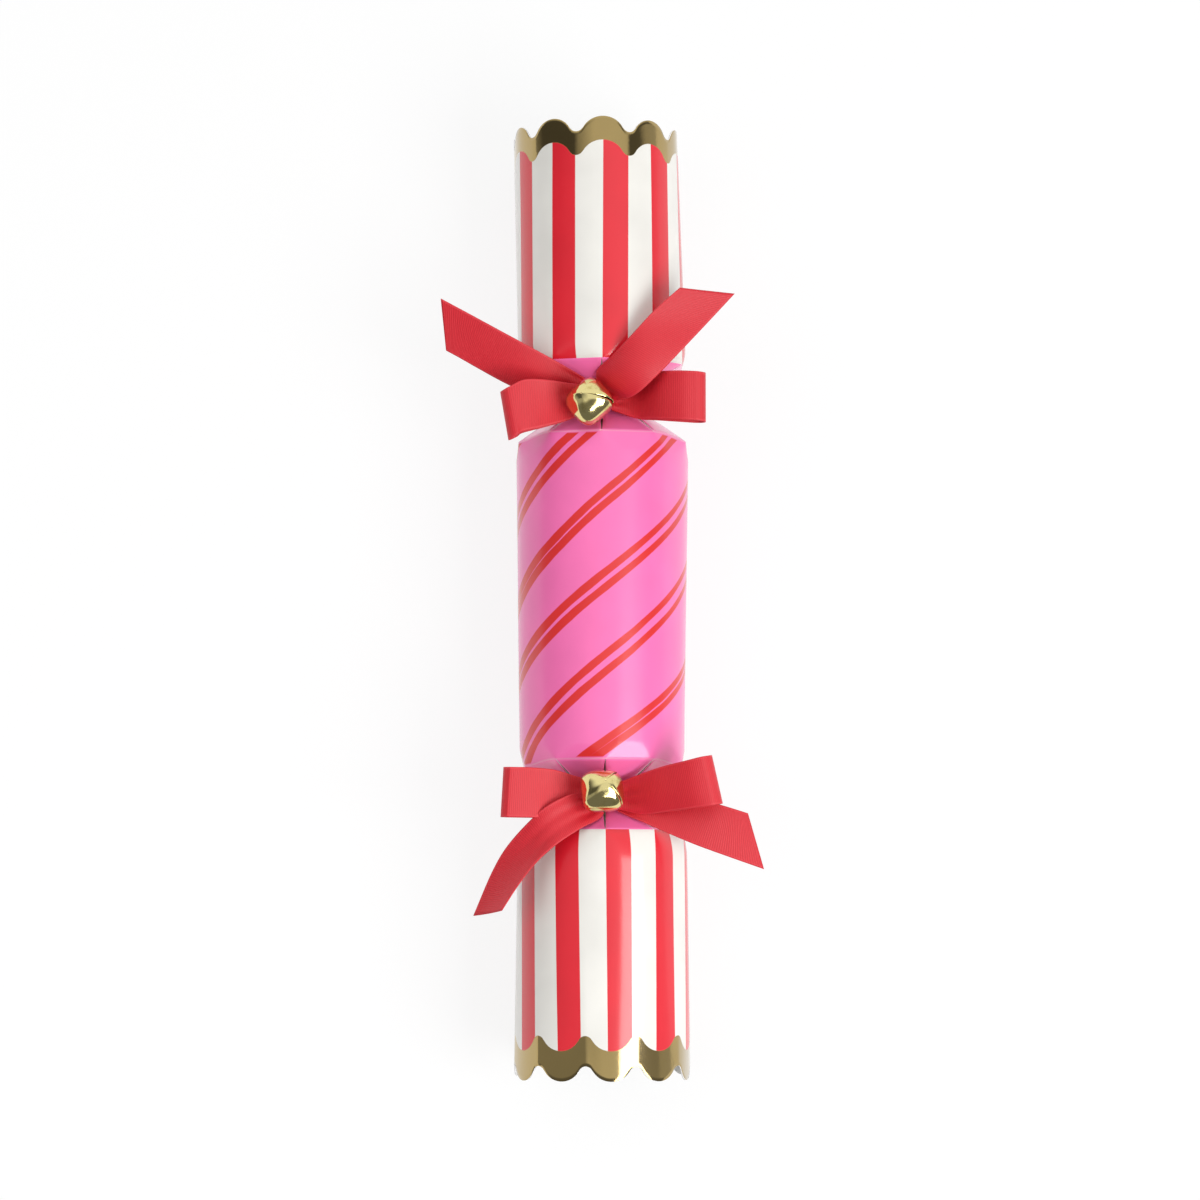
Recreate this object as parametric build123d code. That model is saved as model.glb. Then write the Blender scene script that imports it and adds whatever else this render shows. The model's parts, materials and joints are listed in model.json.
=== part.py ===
from build123d import *
from dataclasses import dataclass
from math import atan2, cos, degrees, hypot, pi, radians, sin
import os

# A Christmas cracker lying on a table, in millimetres.
# Y runs along the cracker, Z is up, and the table is at Z = 0.
# Inside this file everything is built round the cracker's own axis and lifted at the end.
# Angles round the axis are measured from the top, towards +X.

# Wrapper card
CARD = 0.5                  # thickness of the printed card
PANEL_PAIRS = 5             # the card is folded into twice as many panels
BARREL_RADIUS = 27.0
BARREL_LENGTH = 104.0       # from fold to fold
FOLD_RADIUS = 26.8          # corner radius of the folded rings, as far round as the barrel
FOLD_BLEND = 14.0           # length over which a folded ring turns round
NECK_RADIUS = 13.0          # corner radius of the choke
NECK_LENGTH = 6.0           # straight part of the choke, under the ribbon
SLIT_FOLD_GAP = 0.4         # gap between two tabs at the fold
SLIT_NECK_GAP = 1.4         # and at the choke
SCALLOP_DEPTH = 4.8
SCALLOP_NOTCH_RADIUS = 2.6
LAP_WIDTH = 12.0            # glued overlap along the underside
CLEARANCE = 0.35            # between pieces that move past each other

# The two ends, far and near
FAR_CHOKE = 23.0            # from the barrel's fold to the frill's fold
NEAR_CHOKE = 22.0
FAR_FRILL = 77.0            # from the frill's fold to the scallop tips
NEAR_FRILL = 79.0
FAR_RIM_HALF_WIDTH = 26.4
NEAR_RIM_HALF_WIDTH = 28.3

# Liner tube inside the barrel
LINER_CARD = 0.6
LINER_GAP = 0.2

# Ribbon bows
RIBBON_WIDTH = 15.5
RIBBON_THICKNESS = 0.6
BAND_THICKNESS = 1.2        # gathered ribbon round the choke
KNOT_WIDTH = 9.0
KNOT_HEIGHT = 7.2
GATHER_WIDTH = 6.4          # ribbon width in the knot
GATHER_LENGTH = 17.5        # from the knot's middle to where the ribbon lies at full width
LOOP_END_RADIUS = 3.2
LOOP_RISE = 10.2            # of the loop's far end above the knot
FAR_LEFT_LOOP = 33.0        # lengths of the loops, from the knot's middle
FAR_RIGHT_LOOP = 33.0
NEAR_LEFT_LOOP = 32.0
NEAR_RIGHT_LOOP = 37.0
FAR_LEFT_TAIL = 53.5        # lengths of the loose ends, along their middles
FAR_RIGHT_TAIL = 45.5
NEAR_LEFT_TAIL = 50.0
NEAR_RIGHT_TAIL = 50.8
TAIL_SLANT = 6.0            # usual difference between a loose end's two edges at the cut
TAIL_LONG_SLANT = 10.0
TAIL_LOW_CREST = 0.1        # height over the folded ring's flats, for the loose end that lies below a loop
TAIL_HIGH_CREST = 2.2       # and for the one that lies above it
TAIL_STEEP_CREST = 3.4      # and for the one that rises steeply beside the far bell
TAIL_DROOP = 2.0            # usual fall from the crest to the tip
TAIL_LONG_DROOP = 9.0
TAIL_MARGIN = 5.0           # from the bell's edge to the crest
TAIL_STEEP_MARGIN = 2.6     # the same where the bell leans away

# Jingle bells
BELL_SIZE = 13.4            # across two opposite petals
BELL_WALL = 0.5
BELL_SLIT = 0.9
BELL_ROUNDING = 1.2         # corner reach over half the size
BELL_SWING = 10.0           # degrees either way, for a bell that stands upright
BELL_LEAN = 10.0            # degrees that the far bell leans towards the barrel
BELL_LEAN_STOP = 5.0        # degrees that it can lean further
BELL_ASIDE = 2.8            # offset of the far bell's wire loop from the knot's middle, to the left
BELL_ALONG = 0.8            # and towards the barrel
LOOP_WIRE = 0.9
LOOP_RADIUS = 1.9           # centre line of the wire loop
CLAPPER_DIAMETER = 4.6

# Snap
SNAP_WIDTH = 7.0
SNAP_CARD = 0.4
SNAP_PATCH = 0.15           # thickness of the charge and of the grit
SNAP_PATCH_LENGTH = 8.0
SNAP_PATCH_INSET = 0.5      # from the strip's edge to the patch
SNAP_OVERLAP = 26.0
SNAP_SLEEVE_MARGIN = 2.0    # of the sleeve past the overlap, at each end
SNAP_SLEEVE = 0.15
SNAP_PLAY = 0.06            # between the two patches
SNAP_TAB = 18.0             # glued end inside the frill
SNAP_TAB_INSET = 14.0       # from the scallop tips to the strip's end

# Contents
HAT_RADIUS = 8.6
HAT_LENGTH = 44.0
HAT_LAYER = 0.9
HAT_PITCH = 1.5
HAT_TURNS = 3
MOTTO_RADIUS = 4.6
MOTTO_LENGTH = 40.0
MOTTO_LAYER = 0.4
MOTTO_PITCH = 0.9
MOTTO_TURNS = 2
TOP_RADIUS = 9.0            # of the spinning top
TOP_HEIGHT = 20.0
TOP_SPINDLE_RADIUS = 1.5


@dataclass
class Loop:
    direction: float        # degrees from +X, seen from above
    length: float


@dataclass
class Tail:
    direction: float        # degrees from +X, seen from above
    length: float           # along its middle
    slant: float            # difference between its two edges at the cut end
    crest: float            # height over the folded ring's flats where it leaves the choke
    margin: float           # from the bell's edge to the crest
    droop: float            # fall from the crest to the tip
    bend: float             # turn of its path, in degrees


@dataclass
class End:
    name: str
    side: int               # +1 far, -1 near
    choke: float            # from the barrel's fold to the frill's fold
    frill: float            # from the frill's fold to the scallop tips
    rim_half_width: float
    lean: float             # sideways lean of the frill, in degrees
    bell_spin: float
    bell_tilt: float        # to the side, in degrees
    bell_lean: float        # towards the near end, in degrees
    bell_offset: tuple      # of the wire loop from the knot's middle, to the side and along
    bell_swing: tuple       # lowest and highest angle from rest, in degrees
    loops: tuple
    tails: tuple


ENDS = (
    End("far", 1, FAR_CHOKE, FAR_FRILL, FAR_RIM_HALF_WIDTH, 1.7,
        28.0, -10.0, BELL_LEAN, (-BELL_ASIDE, -BELL_ALONG), (-BELL_LEAN, BELL_LEAN_STOP),
        (Loop(189.0, FAR_LEFT_LOOP), Loop(0.5, FAR_RIGHT_LOOP)),
        (Tail(157.0, FAR_LEFT_TAIL, -TAIL_SLANT, TAIL_LOW_CREST, TAIL_MARGIN, TAIL_DROOP, 0.0),
         Tail(46.0, FAR_RIGHT_TAIL, -TAIL_LONG_SLANT, TAIL_STEEP_CREST, TAIL_STEEP_MARGIN, TAIL_DROOP, 0.0))),
    End("near", -1, NEAR_CHOKE, NEAR_FRILL, NEAR_RIM_HALF_WIDTH, 0.0,
        4.0, -6.0, 0.0, (0.0, 0.0), (-BELL_SWING, BELL_SWING),
        (Loop(181.0, NEAR_LEFT_LOOP), Loop(8.0, NEAR_RIGHT_LOOP)),
        (Tail(-18.0, NEAR_RIGHT_TAIL, -TAIL_LONG_SLANT, TAIL_LOW_CREST, TAIL_MARGIN, TAIL_DROOP, 0.0),
         Tail(212.0, NEAR_LEFT_TAIL, TAIL_SLANT, TAIL_HIGH_CREST, TAIL_MARGIN, TAIL_LONG_DROOP, 30.0))),
)

PANELS = 2 * PANEL_PAIRS
HALF_PANEL = 180.0 / PANELS
APOTHEM = cos(radians(HALF_PANEL))
FLAT_DROP = BARREL_RADIUS * APOTHEM         # axis to the flat underside
AXIS_HEIGHT = FLAT_DROP + CARD
NECK_MID = NECK_RADIUS * APOTHEM
FOLD_MID = FOLD_RADIUS * APOTHEM
LINER_RADIUS = BARREL_RADIUS - CARD - LINER_GAP
LINER_INSIDE = LINER_RADIUS - LINER_CARD
LINER_LENGTH = BARREL_LENGTH - 2 * FOLD_BLEND
CONTENTS_PLAY = (LINER_LENGTH - HAT_LENGTH - TOP_HEIGHT) / 4 - CLEARANCE
BAND_INSIDE = NECK_RADIUS + CLEARANCE
BAND_OUTSIDE = BAND_INSIDE + BAND_THICKNESS


def waist(end):
    """Distance from the barrel's middle to the tear line of one choke."""
    return BARREL_LENGTH / 2 + end.choke / 2


def frill_fold(end):
    return BARREL_LENGTH / 2 + end.choke


def tip(end):
    return frill_fold(end) + end.frill


def lean_shift(end, y):
    """Sideways offset of the leaning frill at a distance y from the barrel's middle."""
    return -max(0.0, y - frill_fold(end)) * sin(radians(end.lean))


def at(angle, radius, y, spread=1.0, shift=0.0):
    turn = radians(angle)
    return Vector(shift + spread * radius * sin(turn), y, radius * cos(turn))


def ring(y, shape, mid, floor, spread=1.0, shift=0.0):
    """Closed wire round the axis. mid is its radius at the middle of a panel, floor its depth underneath."""
    on_slit = {"folded": mid / APOTHEM, "round": mid, "scalloped": mid * APOTHEM}[shape]
    corners = []
    for step in range(2 * PANELS):
        radius = mid if step % 2 else on_slit
        if step == PANELS:
            radius = min(radius, floor)
        corners.append(at(step * HALF_PANEL, radius, y, spread, shift))
    edges = []
    for step, start in enumerate(corners):
        stop = corners[(step + 1) % len(corners)]
        if shape == "round" and step not in (PANELS - 1, PANELS):
            middle = at((step + 0.5) * HALF_PANEL, mid, y, spread, shift)
            edges.append(Edge.make_three_point_arc(start, middle, stop))
        else:
            edges.append(Edge.make_line(start, stop))
    return Wire(edges)


def inset(profile, depth):
    """Moves a profile of (y, radius) points towards the axis by the card's thickness."""
    lines = []
    for (y0, r0), (y1, r1) in zip(profile, profile[1:]):
        length = hypot(y1 - y0, r1 - r0)
        across = ((r1 - r0) / length * depth, -(y1 - y0) / length * depth)
        lines.append(((y0 + across[0], r0 + across[1]), (r1 - r0) / (y1 - y0)))
    moved = [(profile[0][0], lines[0][0][1] + lines[0][1] * (profile[0][0] - lines[0][0][0]))]
    for ((ya, ra), slope_a), ((yb, rb), slope_b) in zip(lines, lines[1:]):
        if abs(slope_a - slope_b) < 1e-6:
            moved.append((yb, rb))
            continue
        y = (rb - ra + slope_a * ya - slope_b * yb) / (slope_a - slope_b)
        moved.append((y, ra + slope_a * (y - ya)))
    (ya, ra), slope = lines[-1]
    moved.append((profile[-1][0], ra + slope * (profile[-1][0] - ya)))
    return moved


def card_shell(profile, shapes, spreads, shifts):
    """Thin card tube through rings of the given shapes, lofted straight between them."""
    outer = []
    inner = []
    for (y, mid), (y_in, mid_in), shape, spread, shift in zip(
            profile, inset(profile, CARD), shapes, spreads, shifts):
        outer.append(ring(y, shape, mid, FLAT_DROP, spread, shift))
        inner.append(ring(y_in, shape, mid_in, FLAT_DROP - CARD, spread, shift))
    return Solid.make_loft(outer, True) - Solid.make_loft(inner, True)


def slits(fold, neck, past):
    """Wedges between the tabs, from a fold down to the choke and past the tear line."""
    outline = Polyline(
        (-SLIT_FOLD_GAP / 2, fold), (SLIT_FOLD_GAP / 2, fold),
        (SLIT_NECK_GAP / 2, neck), (SLIT_NECK_GAP / 2, past),
        (-SLIT_NECK_GAP / 2, past), (-SLIT_NECK_GAP / 2, neck), close=True)
    wedge = extrude(make_face(outline), FOLD_RADIUS + 1)
    return [Rot(0, 2 * HALF_PANEL * panel, 0) * wedge for panel in range(PANELS)]


def scallops(end):
    """Cutters that leave round lobes on the slit lines and notches between them."""
    half = BARREL_RADIUS * sin(radians(HALF_PANEL))
    top = tip(end)
    radii = (half ** 2 + SCALLOP_DEPTH ** 2) / (2 * SCALLOP_DEPTH)
    lobe = radii - SCALLOP_NOTCH_RADIUS
    slope = atan2(radii - SCALLOP_DEPTH, half)
    join = (half - lobe * cos(slope), top - lobe + lobe * sin(slope))
    lobe_mid = (half - lobe * cos((slope + pi / 2) / 2), top - lobe + lobe * sin((slope + pi / 2) / 2))
    notch = (0, top - SCALLOP_DEPTH)
    over = top + 2 * SCALLOP_DEPTH
    wide = half * 1.06
    curve = [
        ThreePointArc((-half, top), (-lobe_mid[0], lobe_mid[1]), (-join[0], join[1])),
        ThreePointArc((-join[0], join[1]), notch, join),
        ThreePointArc(join, lobe_mid, (half, top)),
        Polyline((half, top), (wide, top), (wide, over), (-wide, over), (-wide, top), (-half, top)),
    ]
    face = make_face(Wire(Curve(children=curve).edges()))
    cutter = Pos(0, 0, BARREL_RADIUS / 2) * extrude(face, BARREL_RADIUS)
    spread = end.rim_half_width / BARREL_RADIUS
    cutters = []
    for panel in range(PANELS):
        turn = radians((2 * panel + 1) * HALF_PANEL)
        angle = degrees(atan2(spread * sin(turn), cos(turn)))
        cutters.append(Pos(lean_shift(end, top), 0, 0) * Rot(0, angle, 0) * cutter)
    return cutters


def lap(start, stop, shift_start=0.0, shift_stop=0.0):
    """Second layer of card where the wrapper is glued to itself, along the underside."""
    half = LAP_WIDTH / 2
    outline = Polyline(
        (shift_start - half, start), (shift_start + half, start),
        (shift_stop + half, stop), (shift_stop - half, stop), close=True)
    return Pos(0, 0, -FLAT_DROP - CARD) * extrude(make_face(outline), CARD)


def make_barrel():
    near, far = ENDS[1], ENDS[0]
    half = BARREL_LENGTH / 2
    profile = [
        (-waist(near), NECK_MID), (-waist(near) + NECK_LENGTH / 2, NECK_MID),
        (-half, FOLD_MID), (-half + FOLD_BLEND, BARREL_RADIUS),
        (half - FOLD_BLEND, BARREL_RADIUS), (half, FOLD_MID),
        (waist(far) - NECK_LENGTH / 2, NECK_MID), (waist(far), NECK_MID)]
    shapes = ["folded"] * 3 + ["round"] * 2 + ["folded"] * 3
    shell = card_shell(profile, shapes, [1.0] * 8, [0.0] * 8)
    shell += lap(-half + FOLD_BLEND, half - FOLD_BLEND)
    cuts = slits(half, waist(far) - NECK_LENGTH / 2, waist(far) + 1)
    cuts += slits(-half, -waist(near) + NECK_LENGTH / 2, -waist(near) - 1)
    return shell - cuts


def make_frill(end):
    fold = frill_fold(end)
    spread = end.rim_half_width / BARREL_RADIUS
    beyond = tip(end) + 1
    profile = [
        (waist(end), NECK_MID), (waist(end) + NECK_LENGTH / 2, NECK_MID),
        (fold, FOLD_MID), (fold + FOLD_BLEND, BARREL_RADIUS), (beyond, BARREL_RADIUS)]
    shapes = ["folded"] * 3 + ["round", "scalloped"]
    part_way = 1 + (spread - 1) * FOLD_BLEND / end.frill
    shifts = [lean_shift(end, y) for y, _ in profile]
    shell = card_shell(profile, shapes, [1.0, 1.0, 1.0, part_way, spread], shifts)
    shell += lap(fold + FOLD_BLEND, beyond, shifts[3], shifts[4])
    cuts = slits(fold, waist(end) + NECK_LENGTH / 2, waist(end) - 1) + scallops(end)
    frill = shell - cuts
    return frill if end.side > 0 else frill.mirror(Plane.XZ)


def make_liner():
    ends = (-LINER_LENGTH / 2, LINER_LENGTH / 2)
    outer = [ring(y, "round", LINER_RADIUS, LINER_RADIUS * APOTHEM) for y in ends]
    inner = [ring(y, "round", LINER_INSIDE, LINER_INSIDE * APOTHEM) for y in ends]
    return Solid.make_loft(outer, True) - Solid.make_loft(inner, True)


def groove_half(end, radius):
    """Half the open width of the choke's groove at a radius."""
    share = (radius - NECK_RADIUS) / (FOLD_RADIUS - NECK_RADIUS)
    return NECK_LENGTH / 2 + share * (end.choke - NECK_LENGTH) / 2


KNOT_MIDDLE = BAND_OUTSIDE + KNOT_HEIGHT / 2 - RIBBON_THICKNESS
PIVOT = KNOT_MIDDLE + KNOT_HEIGHT / 2 - LOOP_RADIUS / 4
BELL_REACH = LOOP_RADIUS + BELL_SIZE / 2
BELL_EDGE = BELL_SIZE / 2 * BELL_ROUNDING


def make_loop(loop):
    """One loop of a bow, in its own frame: along +X from the knot, ribbon width along Y."""
    centre = (loop.length - LOOP_END_RADIUS, KNOT_MIDDLE + LOOP_RISE)
    rounds = []
    for less in (0.0, RIBBON_THICKNESS):
        knot_end = Pos(0, KNOT_MIDDLE) * Circle(2 * RIBBON_THICKNESS - less)
        far_end = Pos(*centre) * Circle(LOOP_END_RADIUS - less)
        rounds.append(make_hull(knot_end.edges() + far_end.edges()))
    band = Plane.XZ * (rounds[0] - rounds[1])
    half = RIBBON_WIDTH / 2
    gather = GATHER_WIDTH / 2
    outline = Polyline(
        (0, -gather), (GATHER_LENGTH, -half), (loop.length + 1, -half),
        (loop.length + 1, half), (GATHER_LENGTH, half), (0, gather), close=True)
    return extrude(band, half, both=True) & extrude(make_face(outline), 3 * FOLD_RADIUS)


def make_tail(tail):
    """One loose end of a bow, in its own frame: along +X from the knot."""
    crest = FOLD_MID + tail.crest
    reach = tail.length + abs(tail.slant)
    tip_height = crest - tail.droop * reach / tail.length
    path = [(0, BAND_OUTSIDE), (BELL_EDGE + tail.margin, crest), (reach, tip_height)]
    low = FilletPolyline(*path, radius=RIBBON_WIDTH / 4)
    high = Pos(0, RIBBON_THICKNESS) * low
    sides = [Line(low @ 0, high @ 0), Line(low @ 1, high @ 1)]
    face = make_face(low.edges() + high.edges() + sides[0].edges() + sides[1].edges())
    band = extrude(Plane.XZ * face, 2 * RIBBON_WIDTH, both=True)
    half = RIBBON_WIDTH / 2
    gather = GATHER_WIDTH / 2
    left = tail.length + tail.slant / 2
    right = tail.length - tail.slant / 2
    if tail.bend:
        radius = tail.length / radians(tail.bend)
        edges = []
        for offset, length in ((half, left), (-half, right)):
            points = [(GATHER_LENGTH, offset)]
            for share in (0.5, 1.0):
                turn = radians(tail.bend) * (length - GATHER_LENGTH) / tail.length * share
                points.append((GATHER_LENGTH + (radius - offset) * sin(turn),
                               radius - (radius - offset) * cos(turn)))
            edges.append(points)
        (l0, l1, l2), (r0, r1, r2) = edges
        curve = [ThreePointArc(l0, l1, l2), Line(l2, r2), ThreePointArc(r2, r1, r0),
                 Polyline(r0, (0, -gather), (0, gather), l0)]
    else:
        curve = [Polyline((0, -gather), (GATHER_LENGTH, -half), (right, -half), (left, half),
                          (GATHER_LENGTH, half), (0, gather), close=True)]
    outline = make_face(Wire(Curve(children=curve).edges()))
    return band & extrude(outline, 3 * FOLD_RADIUS)


def bell_frame(end):
    """Frame of a bell's wire loop: its centre, with the bell straight above it before it tilts."""
    aside, along = end.bell_offset
    return Pos(aside, end.side * waist(end) + along, PIVOT) * Rot(end.bell_lean, end.bell_tilt, 0)


def wire_loop():
    """Ring of wire round the X axis, which the bell swings about."""
    section = Pos(0, LOOP_RADIUS) * Circle(LOOP_WIRE / 2)
    return revolve(section, Axis.X)


def wire_slot():
    """Room for the wire loop in the knot: it leaves a round core of ribbon inside the loop."""
    width = LOOP_WIRE + 2 * CLEARANCE
    outside = Cylinder(LOOP_RADIUS + width / 2, width, rotation=(0, 90, 0))
    return outside - Cylinder(LOOP_RADIUS - width / 2, width, rotation=(0, 90, 0))


def make_ribbon(end):
    middle = Pos(0, end.side * waist(end), 0)
    band_width = NECK_LENGTH - 2 * CLEARANCE
    band = Cylinder(BAND_OUTSIDE, band_width) - Cylinder(BAND_INSIDE, band_width)
    knot_length = 2 * (groove_half(end, BAND_OUTSIDE) - CLEARANCE)
    knot = Pos(0, 0, KNOT_MIDDLE) * Box(KNOT_WIDTH, knot_length, KNOT_HEIGHT)
    knot = fillet(knot.edges(), KNOT_HEIGHT / 4)
    ribbon = Rot(90, 0, 0) * band + knot
    for loop in end.loops:
        ribbon += Rot(0, 0, loop.direction) * make_loop(loop)
    for tail in end.tails:
        ribbon += Rot(0, 0, tail.direction) * make_tail(tail)
    ribbon -= Cylinder(BAND_INSIDE, 3 * RIBBON_WIDTH, rotation=(90, 0, 0))
    return middle * ribbon - bell_frame(end) * wire_slot()


def petal_body(half):
    """Body bounded by four bent petals: two crossed cylinders, corners trimmed by a ball."""
    crossed = Cylinder(half, 4 * half, rotation=(90, 0, 0)) & Cylinder(half, 4 * half, rotation=(0, 90, 0))
    return crossed & Sphere(half * BELL_ROUNDING)


def make_bell(end):
    """Shell, wire loop and clapper of one bell."""
    half = BELL_SIZE / 2
    slot_depth = 1.45 * half
    slots = []
    for turn in (45, 135):
        slot = Box(4 * half, BELL_SLIT, slot_depth, align=(Align.CENTER, Align.CENTER, Align.MAX))
        slots.append(Pos(0, 0, half) * Rot(0, 0, turn) * slot)
    body = petal_body(half)
    place = bell_frame(end) * Pos(0, 0, BELL_REACH) * Rot(0, 0, end.bell_spin)
    shell = place * (body - petal_body(half - BELL_WALL) - slots)
    wire = bell_frame(end) * wire_loop() - place * body
    low = half - BELL_WALL - CLAPPER_DIAMETER / 2 - CLEARANCE / 2
    clapper = place * Pos(0, 0, -low) * Sphere(CLAPPER_DIAMETER / 2)
    return shell, wire, clapper


SLEEVE_HALF = SNAP_WIDTH / 2 + SNAP_PLAY + SNAP_SLEEVE
SLEEVE_TOP = (NECK_MID - CARD - CLEARANCE - SLEEVE_HALF * sin(radians(HALF_PANEL))) / APOTHEM
FAR_STRIP_LOW = SLEEVE_TOP - SNAP_SLEEVE - SNAP_PLAY - SNAP_CARD
NEAR_STRIP_LOW = FAR_STRIP_LOW - 2 * SNAP_PATCH - SNAP_PLAY - SNAP_CARD
TAB_TOP = APOTHEM * (BARREL_RADIUS - CARD) - CLEARANCE


def make_strip(end, low):
    """Snap strip: from the overlap in the barrel, through the choke, to its glued tab in the frill."""
    stop = tip(end) - SNAP_TAB_INSET
    start = frill_fold(end)
    wall = TAB_TOP - SNAP_CARD
    path = [(-SNAP_OVERLAP / 2, low), (start, low), (stop - SNAP_TAB, wall), (stop, wall)]
    under = [(end.side * y, z) for y, z in path]
    over = [(y, z + SNAP_CARD) for y, z in under]
    side = make_face(Polyline(*under, *reversed(over), close=True))
    return extrude(Plane.YZ * side, SNAP_WIDTH / 2, both=True)


def make_snap():
    low_corner = (Align.CENTER, Align.CENTER, Align.MIN)
    charge = Pos(0, 0, FAR_STRIP_LOW - SNAP_PATCH) * Box(
        SNAP_WIDTH - 2 * SNAP_PATCH_INSET, SNAP_PATCH_LENGTH, SNAP_PATCH, align=low_corner)
    grit = Pos(0, 0, NEAR_STRIP_LOW + SNAP_CARD) * Box(
        SNAP_WIDTH - 2 * SNAP_PATCH_INSET, SNAP_PATCH_LENGTH, SNAP_PATCH, align=low_corner)
    height = SLEEVE_TOP - NEAR_STRIP_LOW + SNAP_SLEEVE
    length = SNAP_OVERLAP + 2 * SNAP_SLEEVE_MARGIN
    tube = Box(2 * SLEEVE_HALF, length, height, align=low_corner)
    hole = Box(SNAP_WIDTH + 2 * SNAP_PLAY, length, height - 2 * SNAP_SLEEVE, align=low_corner)
    sleeve = Pos(0, 0, NEAR_STRIP_LOW - SNAP_SLEEVE) * (tube - Pos(0, 0, SNAP_SLEEVE) * hole)
    return charge, grit, sleeve


def rolled_sheet(radius, layer, pitch, turns, length):
    """Sheet rolled into a spiral of half circles, lying along Y with its middle at the origin."""
    outside = []
    inside = []
    centre = 0.0
    for half_turn in range(2 * turns):
        mid = radius - layer / 2 - half_turn * pitch / 2
        way = 1 if half_turn % 2 == 0 else -1
        for edges, grow in ((outside, layer / 2), (inside, -layer / 2)):
            reach = mid + grow
            edges.append(ThreePointArc(
                (centre + way * reach, 0), (centre, way * reach), (centre - way * reach, 0)))
        centre -= way * pitch / 2
    ends = [Line(outside[0] @ 0, inside[0] @ 0), Line(outside[-1] @ 1, inside[-1] @ 1)]
    face = make_face(Wire([edge for curve in outside + inside + ends for edge in curve.edges()]))
    return extrude(Plane.XZ * face, length / 2, both=True)


def in_liner(radius, angle, y):
    """Place of a roll that lies against the liner's wall."""
    return Pos(*at(angle, LINER_INSIDE - radius - CLEARANCE, y))


def make_contents():
    hat_start = -LINER_LENGTH / 2 + CONTENTS_PLAY + CLEARANCE
    hat = in_liner(HAT_RADIUS, 206, hat_start + HAT_LENGTH / 2) * rolled_sheet(
        HAT_RADIUS, HAT_LAYER, HAT_PITCH, HAT_TURNS, HAT_LENGTH)
    motto = in_liner(MOTTO_RADIUS, 154, hat_start + MOTTO_LENGTH / 2) * rolled_sheet(
        MOTTO_RADIUS, MOTTO_LAYER, MOTTO_PITCH, MOTTO_TURNS, MOTTO_LENGTH)
    return hat, motto


def make_top():
    """Turned spinning top lying along Y: its disc and the spindle pressed through it."""
    stem = TOP_SPINDLE_RADIUS
    rim = TOP_RADIUS
    low, high = 0.24 * TOP_HEIGHT, 0.6 * TOP_HEIGHT
    edge_low, edge_high = 0.42 * TOP_HEIGHT, 0.5 * TOP_HEIGHT
    disc_outline = [
        ThreePointArc((stem, low), (0.62 * rim, low + 0.3 * (edge_low - low)), (rim, edge_low)),
        Polyline((rim, edge_low), (rim, edge_high), (0.8 * rim, high), (stem, high), (stem, low)),
    ]
    spindle_outline = [
        Polyline((0, 0), (stem, 0.7 * low), (stem, TOP_HEIGHT - stem / 2), (stem / 2, TOP_HEIGHT),
                 (0, TOP_HEIGHT), close=True),
    ]
    start = LINER_LENGTH / 2 - CONTENTS_PLAY - CLEARANCE - TOP_HEIGHT
    place = Pos(0, start, TOP_RADIUS + CLEARANCE - LINER_INSIDE * APOTHEM)
    return [place * revolve(make_face(Wire(Curve(children=outline).edges())), Axis.Y)
            for outline in (disc_outline, spindle_outline)]


NODES = {}


def main():
    far, near = ENDS
    NODES["barrel_wrap"] = make_barrel()
    NODES["barrel_liner"] = make_liner()
    for end in ENDS:
        NODES[end.name + "_frill"] = make_frill(end)
        NODES[end.name + "_ribbon"] = make_ribbon(end)
        shell, wire, clapper = make_bell(end)
        NODES[end.name + "_bell_shell"] = shell
        NODES[end.name + "_bell_loop"] = wire
        NODES[end.name + "_bell_clapper"] = clapper
    NODES["far_snap_strip"] = make_strip(far, FAR_STRIP_LOW)
    NODES["near_snap_strip"] = make_strip(near, NEAR_STRIP_LOW)
    NODES["snap_charge"], NODES["snap_grit"], NODES["snap_sleeve"] = make_snap()
    NODES["paper_hat"], NODES["motto_slip"] = make_contents()
    NODES["spinning_top_disc"], NODES["spinning_top_spindle"] = make_top()
    os.makedirs("parts", exist_ok=True)
    for name, shape in NODES.items():
        export_step(Pos(0, 0, AXIS_HEIGHT) * shape, f"parts/{name}.step")


main()
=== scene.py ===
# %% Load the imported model
import json
from functools import partial
from math import asin, atan2, cos, degrees, pi, radians, sin, sqrt, tan

import bmesh
import bpy
from mathutils import Euler, Matrix, Vector


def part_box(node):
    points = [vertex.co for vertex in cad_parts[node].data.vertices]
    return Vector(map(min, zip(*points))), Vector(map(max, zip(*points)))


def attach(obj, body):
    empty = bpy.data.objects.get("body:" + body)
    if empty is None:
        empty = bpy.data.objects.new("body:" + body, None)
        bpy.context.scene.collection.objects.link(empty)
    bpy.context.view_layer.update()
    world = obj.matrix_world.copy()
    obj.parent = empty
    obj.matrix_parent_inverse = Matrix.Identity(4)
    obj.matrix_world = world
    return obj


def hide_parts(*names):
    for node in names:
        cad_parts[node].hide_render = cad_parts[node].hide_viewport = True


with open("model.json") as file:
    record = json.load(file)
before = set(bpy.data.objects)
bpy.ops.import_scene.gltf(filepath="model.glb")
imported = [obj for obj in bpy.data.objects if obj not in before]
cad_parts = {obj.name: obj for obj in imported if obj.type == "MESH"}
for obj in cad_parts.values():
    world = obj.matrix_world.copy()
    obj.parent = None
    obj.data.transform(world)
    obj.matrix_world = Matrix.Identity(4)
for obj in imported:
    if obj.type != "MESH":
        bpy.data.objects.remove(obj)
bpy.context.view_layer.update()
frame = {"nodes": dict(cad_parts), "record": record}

# %% [markdown]
# This lesson dresses a Christmas cracker. The real one is printed card, rolled into a tube, slit and
# folded in at two chokes, and tied there with ribbon bows that carry jingle bells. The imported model
# gives the main lengths. All lengths below are in millimetres, and become metres when a mesh is made.

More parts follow.
